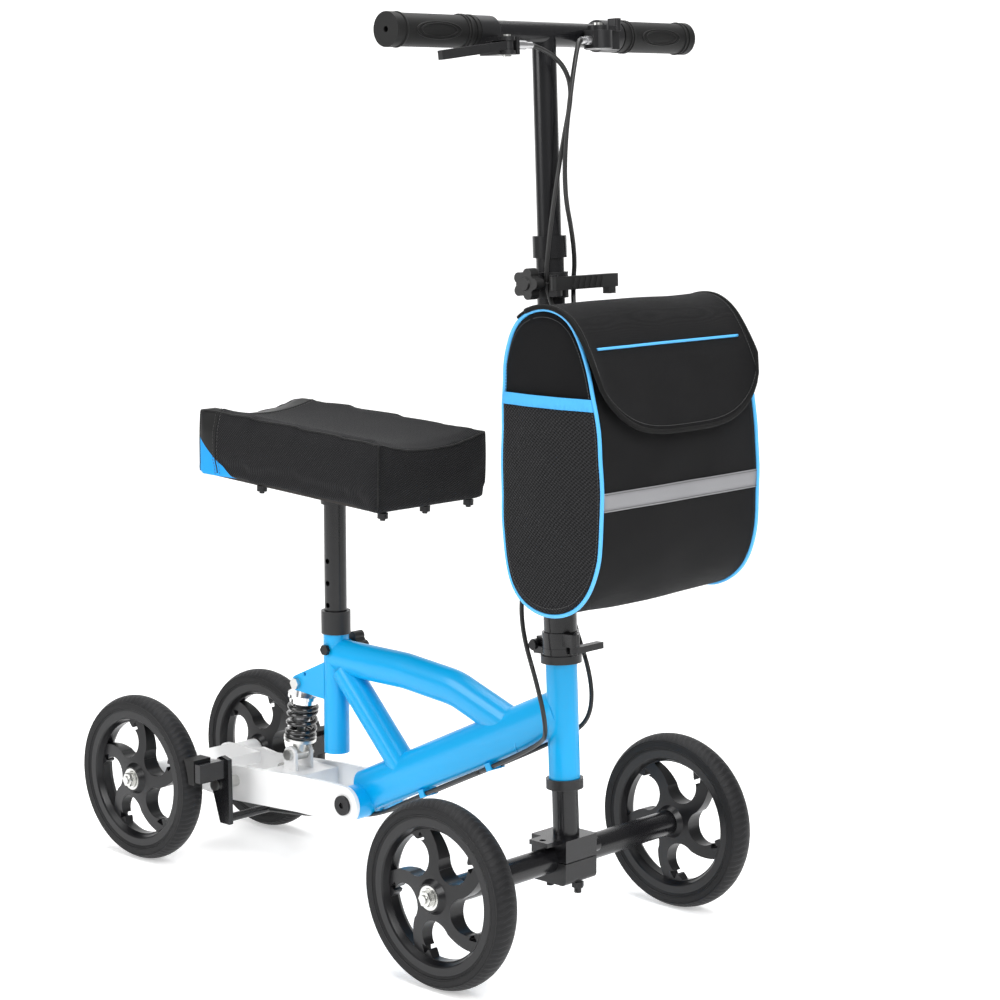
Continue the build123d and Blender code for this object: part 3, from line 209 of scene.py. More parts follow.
def tyre_group():
    """Rings on the sidewall and raked grooves round the tread, about a wheel's centre."""
    tree, given, result = start_group(
        "tyre_lines", [("Centre", (0.0, 0.0, 0.0)), ("Grooves", 84.0)], ["Height", "Shade"]
    )
    place = put(tree, "ShaderNodeTexCoord").outputs["Object"]
    local = put(tree, "ShaderNodeVectorMath", place, given["Centre"], operation="SUBTRACT")
    x, y, z = put(tree, "ShaderNodeSeparateXYZ", local.outputs[0]).outputs
    squares = sum_up(tree, "ADD", sum_up(tree, "MULTIPLY", x, x), sum_up(tree, "MULTIPLY", z, z))
    reach = sum_up(tree, "SQRT", squares)
    turn = sum_up(tree, "ARCTAN2", z, x)
    side = sum_up(tree, "ABSOLUTE", y)
    wobble = put(tree, "ShaderNodeTexNoise", local.outputs[0], None, 70.0, 2.0).outputs[0]
    turns = sum_up(tree, "MULTIPLY", turn, given["Grooves"])
    raked = sum_up(tree, "MULTIPLY_ADD", side, 260.0, turns)
    wave = sum_up(tree, "SINE", sum_up(tree, "MULTIPLY_ADD", wobble, 5.0, raked))
    crisp = put(tree, "ShaderNodeMapRange", wave, -0.2, 0.5, 0.0, 1.0).outputs[0]
    on_tread = put(tree, "ShaderNodeMapRange", reach, 0.0935, 0.0955, 0.0, 1.0).outputs[0]
    tread = sum_up(tree, "MULTIPLY", crisp, on_tread)
    height = sum_up(tree, "MULTIPLY", tread, 0.5)
    for ring in (0.0845, 0.0865, 0.0925):
        gap = sum_up(tree, "ABSOLUTE", sum_up(tree, "SUBTRACT", reach, ring))
        dip = put(tree, "ShaderNodeMapRange", gap, 0.0, 0.0005, 1.0, 0.0).outputs[0]
        height = sum_up(tree, "SUBTRACT", height, dip)
    tree.links.new(height, result.inputs["Height"])
    tree.links.new(sum_up(tree, "MULTIPLY_ADD", tread, 0.35, 0.75), result.inputs["Shade"])
    return tree


grain, wear, weave, tyre_lines = grain_group(), wear_group(), weave_group(), tyre_group()


# ---------------------------------------------------------------- materials
def use_group(tree, group, **values):
    made = tree.nodes.new("ShaderNodeGroup")
    made.node_tree = group
    for label, value in values.items():
        made.inputs[label].default_value = value
    return made


def finish_of(name, colour, roughness, metallic=0.0, coat=0.0, sheen=0.0, specular=0.5,
              scale=900.0, spread=0.12, relief=0.00002, worn=0.0, worn_colour=None):
    """A material with grain, a mottled tone, a bump and, where asked, rubbed edges."""
    material = bpy.data.materials.new(name)
    material.use_nodes = True
    tree = material.node_tree
    shader = tree.nodes["Principled BSDF"]
    shader.inputs["Metallic"].default_value = metallic
    shader.inputs["Coat Weight"].default_value = coat
    shader.inputs["Coat Roughness"].default_value = 0.12
    shader.inputs["Sheen Weight"].default_value = sheen
    shader.inputs["Specular IOR Level"].default_value = specular
    texture = use_group(tree, grain, Scale=scale, Spread=spread)
    toned = put(tree, "ShaderNodeVectorMath", colour, operation="SCALE")
    tree.links.new(texture.outputs["Shade"], toned.inputs["Scale"])
    shown = toned.outputs[0]
    if worn:
        mask = use_group(tree, wear, Amount=worn).outputs["Mask"]
        mixed = put(tree, "ShaderNodeMix", data_type="RGBA")
        tree.links.new(mask, mixed.inputs["Factor"])
        tree.links.new(shown, mixed.inputs["A"])
        mixed.inputs["B"].default_value = (*(worn_colour or colour), 1)
        shown = mixed.outputs["Result"]
    tree.links.new(shown, shader.inputs["Base Color"])
    rough = put(
        tree, "ShaderNodeMapRange", texture.outputs["Shade"], 0.9, 1.1,
        roughness * 0.85, roughness * 1.15,
    )
    tree.links.new(rough.outputs[0], shader.inputs["Roughness"])
    bump = put(tree, "ShaderNodeBump")
    bump.inputs["Distance"].default_value = relief
    tree.links.new(texture.outputs["Height"], bump.inputs["Height"])
    tree.links.new(bump.outputs[0], shader.inputs["Normal"])
    return material


def lay_pattern(material, height, shade, relief):
    """Lets a pattern scale the colour and take over the bump."""
    tree = material.node_tree
    shader = tree.nodes["Principled BSDF"]
    plain = shader.inputs["Base Color"].links[0].from_socket
    toned = put(tree, "ShaderNodeVectorMath", plain, operation="SCALE")
    tree.links.new(shade, toned.inputs["Scale"])
    tree.links.new(toned.outputs[0], shader.inputs["Base Color"])
    bump = shader.inputs["Normal"].links[0].from_node
    bump.inputs["Distance"].default_value = relief
    tree.links.new(height, bump.inputs["Height"])
    return material


def cloth_of(name, colour, pitch, relief, contrast, sheen=0.04, roughness=0.75, slant=0.0):
    """Woven cloth: the threads shade the colour and raise the surface."""
    material = finish_of(name, colour, roughness, sheen=sheen, specular=0.08, scale=1500.0)
    tree = material.node_tree
    threads = use_group(tree, weave, Pitch=pitch, Slant=slant)
    shaded = put(tree, "ShaderNodeMapRange", threads.outputs["Shade"], 0.0, 1.0,
                 1.0 - contrast, 1.0 + contrast)
    return lay_pattern(material, threads.outputs["Height"], shaded.outputs[0], relief)


def tyre_of(name, centre):
    """Solid tyre rubber with its rings and grooves centred on one wheel."""
    material = finish_of(name, (0.010, 0.010, 0.011), 0.55, specular=0.25, scale=700.0)
    lines = use_group(material.node_tree, tyre_lines, Centre=centre)
    return lay_pattern(material, lines.outputs["Height"], lines.outputs["Shade"], 0.0006)


bright_steel = (0.62, 0.62, 0.60)
blue_paint = finish_of("blue_paint", (0.0, 0.36, 0.74), 0.30, coat=0.2, specular=0.3,
                       scale=420.0, spread=0.05, relief=0.00003, worn=0.2,
                       worn_colour=(0.0, 0.20, 0.55))
white_paint = finish_of("white_paint", (0.80, 0.80, 0.80), 0.32, coat=0.4, scale=420.0,
                        spread=0.04, relief=0.00003, worn=0.2, worn_colour=(0.6, 0.6, 0.6))
black_paint = finish_of("black_paint", (0.007, 0.007, 0.008), 0.26, coat=0.15, specular=0.35,
                        scale=500.0, relief=0.00002, worn=0.25, worn_colour=(0.06, 0.06, 0.06))
spring_paint = finish_of("spring_paint", (0.010, 0.010, 0.010), 0.16, coat=0.7, scale=600.0)
black_metal = finish_of("black_metal", (0.016, 0.016, 0.017), 0.36, metallic=0.3, worn=0.4,
                        worn_colour=(0.12, 0.12, 0.12))
black_steel = finish_of("black_steel", (0.02, 0.02, 0.021), 0.38, metallic=0.6, worn=0.4,
                        worn_colour=(0.2, 0.2, 0.2))
steel = finish_of("zinc_steel", bright_steel, 0.28, metallic=1.0, spread=0.2)
chrome = finish_of("chrome", (0.80, 0.80, 0.80), 0.08, metallic=1.0, spread=0.06)
alloy = finish_of("cast_alloy", (0.55, 0.55, 0.56), 0.34, metallic=1.0, spread=0.2)
knob_plastic = finish_of("knob_plastic", (0.015, 0.015, 0.015), 0.42, scale=1400.0,
                         relief=0.00005, worn=0.3, worn_colour=(0.05, 0.05, 0.05))
rim_plastic = finish_of("rim_plastic", (0.006, 0.006, 0.007), 0.3, specular=0.35, scale=1000.0,
                        relief=0.00003, worn=0.3, worn_colour=(0.05, 0.05, 0.05))
grip_rubber = finish_of("grip_rubber", (0.008, 0.008, 0.008), 0.55, scale=1600.0,
                        relief=0.00008, specular=0.25)
cable_skin = finish_of("cable_skin", (0.012, 0.012, 0.012), 0.4, scale=2000.0)
board_black = finish_of("board_black", (0.02, 0.017, 0.015), 0.7, scale=90.0, spread=0.6)
pad_weave = cloth_of("pad_weave", (0.012, 0.012, 0.013), 0.0030, 0.0004, 0.45, slant=0.785)
pad_smooth = finish_of("pad_vinyl", (0.006, 0.006, 0.006), 0.45, specular=0.25, scale=1300.0,
                       relief=0.00006)
pad_blue = cloth_of("pad_blue", (0.02, 0.32, 0.78), 0.0018, 0.00015, 0.12)
bag_weave = cloth_of("bag_weave", (0.0055, 0.0055, 0.006), 0.0009, 0.0001, 0.2)
bag_band = cloth_of("bag_band", (0.075, 0.40, 0.80), 0.0012, 0.0001, 0.12)
bag_mesh = cloth_of("bag_mesh", (0.016, 0.016, 0.017), 0.0036, 0.0007, 0.85, slant=0.785)
piping_blue = finish_of("piping_blue", (0.080, 0.43, 0.84), 0.4, scale=1500.0)
binding_black = cloth_of("binding_black", (0.008, 0.008, 0.008), 0.0010, 0.0001, 0.3)
reflective = cloth_of("reflective_tape", (0.26, 0.26, 0.27), 0.0012, 0.00008, 0.18,
                      roughness=0.35)
webbing = cloth_of("webbing", (0.012, 0.012, 0.012), 0.0020, 0.0003, 0.4)
thread = finish_of("thread", (0.03, 0.03, 0.03), 0.6, sheen=0.2)
floor_white = finish_of("studio_floor", (0.86, 0.86, 0.86), 0.6, scale=30.0, spread=0.01)
floor_shader = floor_white.node_tree.nodes["Principled BSDF"]
floor_shader.inputs["Emission Color"].default_value = (1, 1, 1, 1)
floor_shader.inputs["Emission Strength"].default_value = 0.4

wheels = ("front_right", "front_left", "rear_right", "rear_left")
coats = {
    blue_paint: ["main_frame"],
    white_paint: ["swingarm"],
    black_paint: ["seat_post", "steerer", "front_axle_tube", "column_tube", "t_bar",
                  "column_collar", "brake_yoke", "pad_bracket"],
    spring_paint: ["shock_spring"],
    black_metal: ["clamp_band", "lever_perches", "right_brake_lever", "left_parking_lever",
                  "fold_lever", "axle_cap", "seat_collar", "head_cups"],
    black_steel: ["pad_bolts", "saddle_bolts", "seat_stop_bolt", "swingarm_pivot_bolt",
                  "column_pins"],
    steel: ["swingarm_bolts", "shock_top_bolt", "front_axle_bolts", "rear_axle_bolts",
            "lever_pins", "head_bearings", "pivot_bushes", "shock_rod"],
    chrome: ["shock_preload_ring"],
    alloy: ["shock_body", "cable_adjusters"],
    knob_plastic: ["seat_lock_knob", "height_lock_knob", "clamp_lever"],
    grip_rubber: ["grips", "brake_pads"],
    board_black: ["pad_board"],
    webbing: ["bag_straps"],
    bag_weave: ["bag_body", "bag_flap"],
    pad_weave: ["knee_pad"],
    cable_skin: ["right_brake_cable", "left_brake_cable"],
}


def paint_node(name, material):
    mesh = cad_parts[name].data
    mesh.materials.clear()
    mesh.materials.append(material)


for material, names in coats.items():
    for name in names:
        paint_node(name, material)
for wheel in wheels:
    low, high = (Vector(corner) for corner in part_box(wheel + "_tyre"))
    paint_node(wheel + "_tyre", tyre_of(wheel + "_tyre_rubber", tuple((low + high) / 2)))
    paint_node(wheel + "_rim", rim_plastic)
    paint_node(wheel + "_bearings", steel)

# ---------------------------------------------------------------- floor
floor_reach, curve_radius, wall_height = 3.2, 1.2, 5.0
bend = [(-6.0, 0.0), (floor_reach, 0.0)]
bend += [(floor_reach + curve_radius * math.sin(a), curve_radius - curve_radius * math.cos(a))
         for a in (math.radians(step) for step in range(10, 91, 10))]
bend += [(floor_reach + curve_radius, wall_height)]
away = Vector((view_line.x, view_line.y, 0)).normalized()
across = Vector((away.y, -away.x, 0))
floor_points = [away * run + across * side + Vector((0, 0, rise))
                for run, rise in bend for side in (-7.0, 7.0)]
floor_faces = [(2 * i, 2 * i + 2, 2 * i + 3, 2 * i + 1) for i in range(len(bend) - 1)]
floor = mesh_object("floor", floor_points, floor_faces, [floor_white])


# ---------------------------------------------------------------- making helpers
def belongs(piece, body, slot, *nodes):
    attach(piece, body)
    if nodes:
        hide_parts(*nodes)
    return piece


def smooth_line(points, closed=False, per_run=10):
    """Points, in metres, along the smooth curve through or near the given ones."""
    data = bpy.data.curves.new("line", "CURVE")
    data.dimensions = "3D"
    data.resolution_u = per_run
    spline = data.splines.new("NURBS")
    spline.points.add(len(points) - 1)
    for target, point in zip(spline.points, points):
        target.co = (*point, 1.0)
    spline.order_u = 3
    spline.use_cyclic_u = closed
    spline.use_endpoint_u = not closed
    holder = bpy.data.objects.new("line", data)
    scene.collection.objects.link(holder)
    mesh = bpy.data.meshes.new_from_object(holder)
    line = [vertex.co.copy() for vertex in mesh.vertices]
    bpy.data.objects.remove(holder)
    return line


def tube(name, line, radius, material, closed=False, sides=12, flat=1.0):
    """A round tube along a line of points, with its ends closed."""
    points, faces = [], []
    count = len(line)
    up = Vector((0.13, 0.07, 0.99)).normalized()
    for i, centre in enumerate(line):
        after = line[(i + 1) % count] if closed or i < count - 1 else centre
        before = line[i - 1] if closed or i > 0 else centre
        ahead = (after - before).normalized()
        side = ahead.cross(up)
        if side.length < 0.05:
            side = ahead.cross(Vector((1, 0, 0)))
        side.normalize()
        up = side.cross(ahead).normalized()
        for k in range(sides):
            turn = math.tau * k / sides
            points.append(centre + radius * (side * math.cos(turn) + up * flat * math.sin(turn)))
    for i in range(count if closed else count - 1):
        for k in range(sides):
            a, b = i * sides + k, i * sides + (k + 1) % sides
            c = ((i + 1) % count) * sides
            faces.append((a, b, c + (k + 1) % sides, c + k))
    if not closed:
        faces.append(tuple(range(sides)))
        faces.append(tuple(reversed(range((count - 1) * sides, count * sides))))
    made = mesh_object(name, points, faces, [material])
    point_outwards(made)
    return made


def point_outwards(piece):
    form = bmesh.new()
    form.from_mesh(piece.data)
    bmesh.ops.recalc_face_normals(form, faces=form.faces)
    form.to_mesh(piece.data)
    form.free()


def join_up(name, pieces):
    """Joins meshes at the origin into one object."""
    form = bmesh.new()
    materials = []
    for piece in pieces:
        offset = []
        for material in piece.data.materials:
            if material not in materials:
                materials.append(material)
            offset.append(materials.index(material))
        first = len(form.faces)
        form.from_mesh(piece.data)
        form.faces.ensure_lookup_table()
        for face in form.faces[first:]:
            face.material_index = offset[face.material_index]
        bpy.data.objects.remove(piece)
    mesh = bpy.data.meshes.new(name)
    form.to_mesh(mesh)
    form.free()
    for material in materials:
        mesh.materials.append(material)
    made = bpy.data.objects.new(name, mesh)
    scene.collection.objects.link(made)
    return made


def stitch_tree():
    """Geometry nodes: short thread stitches at even steps along a line."""
    tree = bpy.data.node_groups.new("stitch_row", "GeometryNodeTree")
    labels = (("Step", 0.0036), ("Stitch Length", 0.0024), ("Thread Radius", 0.0003))
    tree.interface.new_socket("Line", in_out="INPUT", socket_type="NodeSocketGeometry")
    for label, value in labels:
        socket = tree.interface.new_socket(label, in_out="INPUT", socket_type="NodeSocketFloat")
        socket.default_value = value
    tree.interface.new_socket("Thread", in_out="INPUT", socket_type="NodeSocketMaterial")
    tree.interface.new_socket("Stitches", in_out="OUTPUT", socket_type="NodeSocketGeometry")
    given = tree.nodes.new("NodeGroupInput").outputs
    line = put(tree, "GeometryNodeMeshToCurve", given["Line"]).outputs[0]
    spaced = tree.nodes.new("GeometryNodeResampleCurve")
    spaced.mode = "LENGTH"
    tree.links.new(line, spaced.inputs["Curve"])
    tree.links.new(given["Step"], spaced.inputs["Length"])
    stitch = tree.nodes.new("GeometryNodeMeshCylinder")
    stitch.inputs["Vertices"].default_value = 6
    tree.links.new(given["Thread Radius"], stitch.inputs["Radius"])
    tree.links.new(given["Stitch Length"], stitch.inputs["Depth"])
    ahead = tree.nodes.new("GeometryNodeInputTangent")
    turn = tree.nodes.new("FunctionNodeAlignRotationToVector")
    turn.axis = "Z"
    tree.links.new(ahead.outputs[0], turn.inputs["Vector"])
    placed = tree.nodes.new("GeometryNodeInstanceOnPoints")
    tree.links.new(spaced.outputs["Curve"], placed.inputs["Points"])
    tree.links.new(stitch.outputs["Mesh"], placed.inputs["Instance"])
    tree.links.new(turn.outputs[0], placed.inputs["Rotation"])
    solid = put(tree, "GeometryNodeRealizeInstances", placed.outputs[0])
    coloured = tree.nodes.new("GeometryNodeSetMaterial")
    tree.links.new(solid.outputs[0], coloured.inputs["Geometry"])
    tree.links.new(given["Thread"], coloured.inputs["Material"])
    result = tree.nodes.new("NodeGroupOutput")
    tree.links.new(coloured.outputs[0], result.inputs[0])
    return tree


stitch_row = stitch_tree()


def stitches(name, lines, step=3.6, length=2.4, radius=0.3):
    """Rows of stitches along lines of points, made one plain mesh."""
    points, edges = [], []
    for line in lines:
        edges += [(len(points) + i, len(points) + i + 1) for i in range(len(line) - 1)]
        points += line
    mesh = bpy.data.meshes.new(name)
    mesh.from_pydata([tuple(point) for point in points], edges, [])
    holder = bpy.data.objects.new(name + "_line", mesh)
    scene.collection.objects.link(holder)
    modifier = holder.modifiers.new("stitches", "NODES")
    modifier.node_group = stitch_row
    values = {"Step": step / 1000, "Stitch Length": length / 1000, "Thread Radius": radius / 1000,
              "Thread": thread}
    for item in stitch_row.interface.items_tree:
        if item.name in values and item.in_out == "INPUT":
            modifier[item.identifier] = values[item.name]
    shown = holder.evaluated_get(bpy.context.evaluated_depsgraph_get())
    made = bpy.data.objects.new(name, bpy.data.meshes.new_from_object(shown))
    scene.collection.objects.link(made)
    bpy.data.objects.remove(holder)
    return made


# ---------------------------------------------------------------- knee rest
pad_tilt = math.radians(3.0)
pad_origin = Vector((-84.0, 0.0, 468.5))
pad_along = Vector((math.cos(pad_tilt), 0, -math.sin(pad_tilt)))
pad_up = Vector((math.sin(pad_tilt), 0, math.cos(pad_tilt)))
pad_half_length, pad_thick, pad_dip = 156.5, 82.0, 13.0
band_seam = -120.5
corner_start, corner_height, corner_length = -152.0, 44.0, 60.0
cover_gap, cover_travel = 1.2, 2.2


def on_pad(u, v, w):
    return (pad_origin + pad_along * u + Vector((0, v, 0)) + pad_up * w) / 1000


def pad_width(u):
    return 84.0 + 3.0 * u / pad_half_length


def pad_section(u, shrink, bulge):
    """One slice of the rest: round bottom corners, tight top corners and the knee trough."""
    half = pad_width(u) - shrink
    low, high = 0.6, pad_thick - shrink
    ring = []
    for step in range(17):
        share = -1 + 2 * step / 16
        ring.append((half * share, low))
    for step in range(1, 9):
        share = step / 9
        ring.append((half + bulge * math.sin(math.pi * share), low + (high - low) * share))
    for step in range(17):
        share = 1 - 2 * step / 16
        dip = pad_dip * (1 - share * share) - 1.5 * abs(share) ** 6
        ring.append((half * share, high - dip))
    for step in range(1, 9):
        share = 1 - step / 9
        ring.append((-half - bulge * math.sin(math.pi * share), low + (high - low) * share))
    return [on_pad(u, v, w) for v, w in ring]


def pad_core(shrink, bulge):
    reach = pad_half_length - shrink
    stations = [-reach + 2 * reach * i / 26 for i in range(27)]
    rings = [pad_section(u, shrink, bulge) for u in stations]
    size = len(rings[0])
    points = [point for ring in rings for point in ring]
    faces = []
    for i in range(len(rings) - 1):
        for k in range(size):
            a, b = i * size + k, i * size + (k + 1) % size
            faces.append((a, a + size, b + size, b))
    faces.append(tuple(range(size)))
    faces.append(tuple(reversed(range((len(rings) - 1) * size, len(rings) * size))))
    made = mesh_object("knee_rest_cover", points, faces, [pad_weave, pad_smooth, pad_blue])
    point_outwards(made)
    return made


def even_mesh(piece, size):
    """Rebuilds a closed mesh from small even faces."""
    remesh = piece.modifiers.new("voxels", "REMESH")
    remesh.mode = "VOXEL"
    remesh.voxel_size = size
    graph = bpy.context.evaluated_depsgraph_get()
    piece.data = bpy.data.meshes.new_from_object(piece.evaluated_get(graph))
    piece.modifiers.clear()


def inflate(piece, pressure, travel, frames):
    """Blows a pad up as sewn cloth, with each point held within its travel."""
    start = [vertex.co.copy() for vertex in piece.data.vertices]
    cloth = piece.modifiers.new("cloth", "CLOTH")
    cloth.settings.quality = 5
    cloth.settings.use_pressure = True
    cloth.settings.uniform_pressure_force = pressure
    cloth.settings.effector_weights.gravity = 0.0
    cloth.settings.tension_stiffness = 40
    cloth.settings.bending_stiffness = 8
    cloth.collision_settings.use_collision = False
    for step in range(1, frames + 1):
        scene.frame_set(step)
    graph = bpy.context.evaluated_depsgraph_get()
    blown = bpy.data.meshes.new_from_object(piece.evaluated_get(graph))
    piece.modifiers.clear()
    for vertex, first in zip(blown.vertices, start):
        moved = vertex.co - first
        if moved.length > travel:
            vertex.co = first + moved * (travel / moved.length)
    piece.data = blown
    scene.frame_set(1)


def finish_pad(piece):
    """Cuts the cover along its seams and gives each panel its cloth."""
    piece.data.materials.clear()
    for material in (pad_weave, pad_smooth, pad_blue):
        piece.data.materials.append(material)
    form = bmesh.new()
    form.from_mesh(piece.data)
    bmesh.ops.smooth_vert(form, verts=form.verts, factor=0.5, use_axis_x=True, use_axis_y=True,
                          use_axis_z=True)
    slant_place = on_pad(corner_start, 0, corner_height)
    slant_normal = (pad_along * corner_height + pad_up * corner_length).normalized()
    for place, normal in ((on_pad(band_seam, 0, 0), pad_along), (slant_place, slant_normal)):
        bmesh.ops.bisect_plane(form, geom=form.verts[:] + form.edges[:] + form.faces[:],
                               plane_co=place, plane_no=normal)
    for face in form.faces:
        middle = face.calc_center_median()
        along = (middle * 1000 - pad_origin).dot(pad_along)
        below = (middle - slant_place).dot(slant_normal) < 0
        face.material_index = 2 if below else (1 if along < band_seam else 0)
        face.smooth = True
    form.to_mesh(piece.data)
    form.free()


rest = pad_core(cover_gap, 0.6)
even_mesh(rest, 0.0045)
inflate(rest, 4.0, cover_travel / 1000, 20)


def fit_to_board(piece):
    """Stretches the blown cover to the rest's own length, width and height."""
    places = []
    for vertex in piece.data.vertices:
        out = vertex.co * 1000 - pad_origin
        places.append(Vector((out.dot(pad_along), out.y, out.dot(pad_up))))
    reach = max(abs(place.x) for place in places)
    half = max(abs(place.y) for place in places)
    low, high = min(place.z for place in places), max(place.z for place in places)
    for vertex, place in zip(piece.data.vertices, places):
        rise = 0.4 + (place.z - low) / (high - low) * (pad_thick - 1.6)
        vertex.co = on_pad(place.x * (pad_half_length - 0.3) / reach, place.y * 87.0 / half, rise)


finish_pad(rest)
fit_to_board(rest)
belongs(rest, "seat", "pad_cover", "knee_pad")


def round_the_rest(u, lift):
    """The line where a plane across the rest cuts its cover, from one bottom edge to the other."""
    form = bmesh.new()
    form.from_mesh(rest.data)
    cut = bmesh.ops.bisect_plane(form, geom=form.verts[:] + form.edges[:] + form.faces[:],
                                 plane_co=on_pad(u, 0, 0), plane_no=pad_along)
    middle = on_pad(u, 0, pad_thick / 2)
    around = {}
    for vertex in cut["geom_cut"]:
        if isinstance(vertex, bmesh.types.BMVert):
            out = vertex.co - middle
            turn = math.atan2(out.y, out.dot(pad_up))
            if out.dot(pad_up) > -0.037:
                around[round(turn, 2)] = vertex.co + out.normalized() * lift / 1000
    form.free()
    return [around[turn] for turn in sorted(around)]


def top_height(share):
    return pad_thick - 1.4 - pad_dip * (1 - share * share)


def welt_lines():
    """The sewn edges of the cover: round its top and down its four corners."""
    reach, inset = pad_half_length - 1.0, 1.0
    shares = [-1 + k / 10 for k in range(21)]
    lines = []
    for end in (-1, 1):
        half = pad_width(end * reach) - inset
        lines.append([on_pad(end * reach, half * share, top_height(share)) for share in shares])
        for side in (-1, 1):
            lines.append([on_pad(end * reach, side * half, w) for w in range(2, 81, 6)])
    for side in (-1, 1):
        lines.append([on_pad(u, side * (pad_width(u) - inset), top_height(1))
                      for u in range(-155, 156, 10)])
    return lines


def laid_on(piece, line):
    """Each point of a line moved to the nearest place on a piece's skin."""
    form = bmesh.new()
    form.from_mesh(piece.data)
    skin = BVHTree.FromBMesh(form)
    form.free()
    return [skin.find_nearest(point)[0] for point in line]


welts = [tube("welt", laid_on(rest, line), 0.0010, pad_smooth, sides=8)
         for line in welt_lines()]
belongs(join_up("knee_rest_welts", welts), "seat", "pad_cover")
seam = tube("knee_rest_seam", round_the_rest(band_seam, -0.1), 0.0009, pad_smooth, sides=6)
belongs(seam, "seat", "pad_cover")
rows = stitches("knee_rest_stitches", [round_the_rest(band_seam + away, 0.2) for away in (-4, 4)],
                step=4.0, length=2.6)
belongs(rows, "seat", "pad_cover")

# ---------------------------------------------------------------- grips
def grip_frame():
    low, high = (Vector(corner) * 1000 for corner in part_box("grips"))
    return (low.x + high.x) / 2, (low.z + high.z) / 2


grip_x, grip_z = grip_frame()
grip_radius = 16.5


def grip_line(y, turn, lift):
    """A point on a grip's skin; a turn of 0 faces forward and a quarter turn faces up."""
    reach = grip_radius + lift
    return mm(grip_x + reach * math.cos(turn), y, grip_z + reach * math.sin(turn))


def grip_details(side):
    """Raised oval outlines on the front and back of the grip and two rings near its root."""
    made = []
    for facing in (0.0, math.pi):
        for grow in (1.0, 0.8):
            oval = [grip_line(side * (172 + 31 * grow * math.cos(a)),
                              facing + 0.52 * grow * math.sin(a), 0.1)
                    for a in (math.tau * k / 48 for k in range(48))]
            made.append(tube("oval", oval, 0.0009, grip_rubber, closed=True, sides=8))
    for y in (124, 128, 216):
        ring = [grip_line(side * y, math.tau * k / 40, 0.2) for k in range(40)]
        made.append(tube("ring", ring, 0.0012, grip_rubber, closed=True, sides=8))
    return made


belongs(join_up("grip_details", grip_details(-1) + grip_details(1)), "handlebar", "rubber")

# ---------------------------------------------------------------- bag
side_outline = [(344, 702.5), (317, 692.5), (300, 665), (296, 608), (295, 506), (300, 434),
                (322, 402), (366, 392), (407, 413), (425, 457), (427, 519), (422, 588),
                (408, 646), (391, 684), (370, 700.5)]
bag_centre = Vector((360.0, 0.0, 550.0))
bag_half = 125.0
pocket_top, band_low, band_high = 609, 605, 617
tape_high, tape_low = 525, 506
flap_low, flap_piping_height = 577, 662
outline = [point * 1000 for point in
           smooth_line([mm(x, 0, z) for x, z in side_outline], closed=True, per_run=8)]
outline_count = len(outline)


def outline_normal(index):
    ahead = outline[(index + 1) % outline_count] - outline[index - 1]
    normal = Vector((ahead.z, 0, -ahead.x)).normalized()
    outward = outline[index % outline_count] - bag_centre
    return normal if normal.dot(outward) > 0 else -normal


def crease(point, size, seed):
    """Soft folds of the cloth, the same at every run."""
    return size * noise.noise(Vector((point.x / 45, point.y / 60 + seed, point.z / 30)))


def bag_point(index, y, lift=0.0):
    """A point of the bag's skin, in millimetres: full in the middle, with a slack bottom."""
    base = outline[index % outline_count]
    middle = max(0.0, 1 - (y / bag_half) ** 2)
    point = bag_centre + (base - bag_centre) * (1 + 0.005 * middle)
    point.y = y
    point.z -= 3.0 * middle * max(0.0, (470 - base.z) / 80)
    return point + outline_normal(index % outline_count) * (lift + crease(point, 1.3, 0.0))


def ring_faces(rings, size):
    faces = []
    for i in range(rings - 1):
        for k in range(size):
            a, b = i * size + k, i * size + (k + 1) % size
            faces.append((a, a + size, b + size, b))
    return faces


def bag_shell():
    """The bag's skin: one side panel, the band round the bag and the other side panel."""
    panel_steps, band_steps, panel_bulge = 11, 40, 3.0
    points = []
    for depth in range(panel_steps, 0, -1):
        points += cap_ring(-1, depth / panel_steps, panel_bulge)[0]
    for i in range(band_steps + 1):
        y = -bag_half + 2 * bag_half * i / band_steps
        points += [bag_point(k, y) / 1000 for k in range(outline_count)]
    for depth in range(1, panel_steps + 1):
        points += cap_ring(1, depth / panel_steps, panel_bulge)[0]
    rings = len(points) // outline_count
    faces = ring_faces(rings, outline_count)
    faces.append(tuple(range(outline_count)))
    last = (rings - 1) * outline_count
    faces.append(tuple(reversed(range(last, last + outline_count))))
    made = mesh_object("bag_shell", points, faces, [bag_weave])
    point_outwards(made)
    return made


def cap_ring(side, depth, bulge, lift=0.0):
    """One ring of a side panel: depth 0 is its rim and 1 nearly its middle."""
    share = 1 - 0.96 * depth
    ring = []
    for k in range(outline_count):
        base = bag_point(k, side * bag_half)
        point = bag_centre + (base - bag_centre) * share
        folds = crease(point, 1.6, 4.0 + side) * (1 - share ** 4)
        swell = bulge * (1 - share * share) + lift + folds
        point.y = side * (bag_half + swell)
        ring.append(point / 1000)
    return ring, share


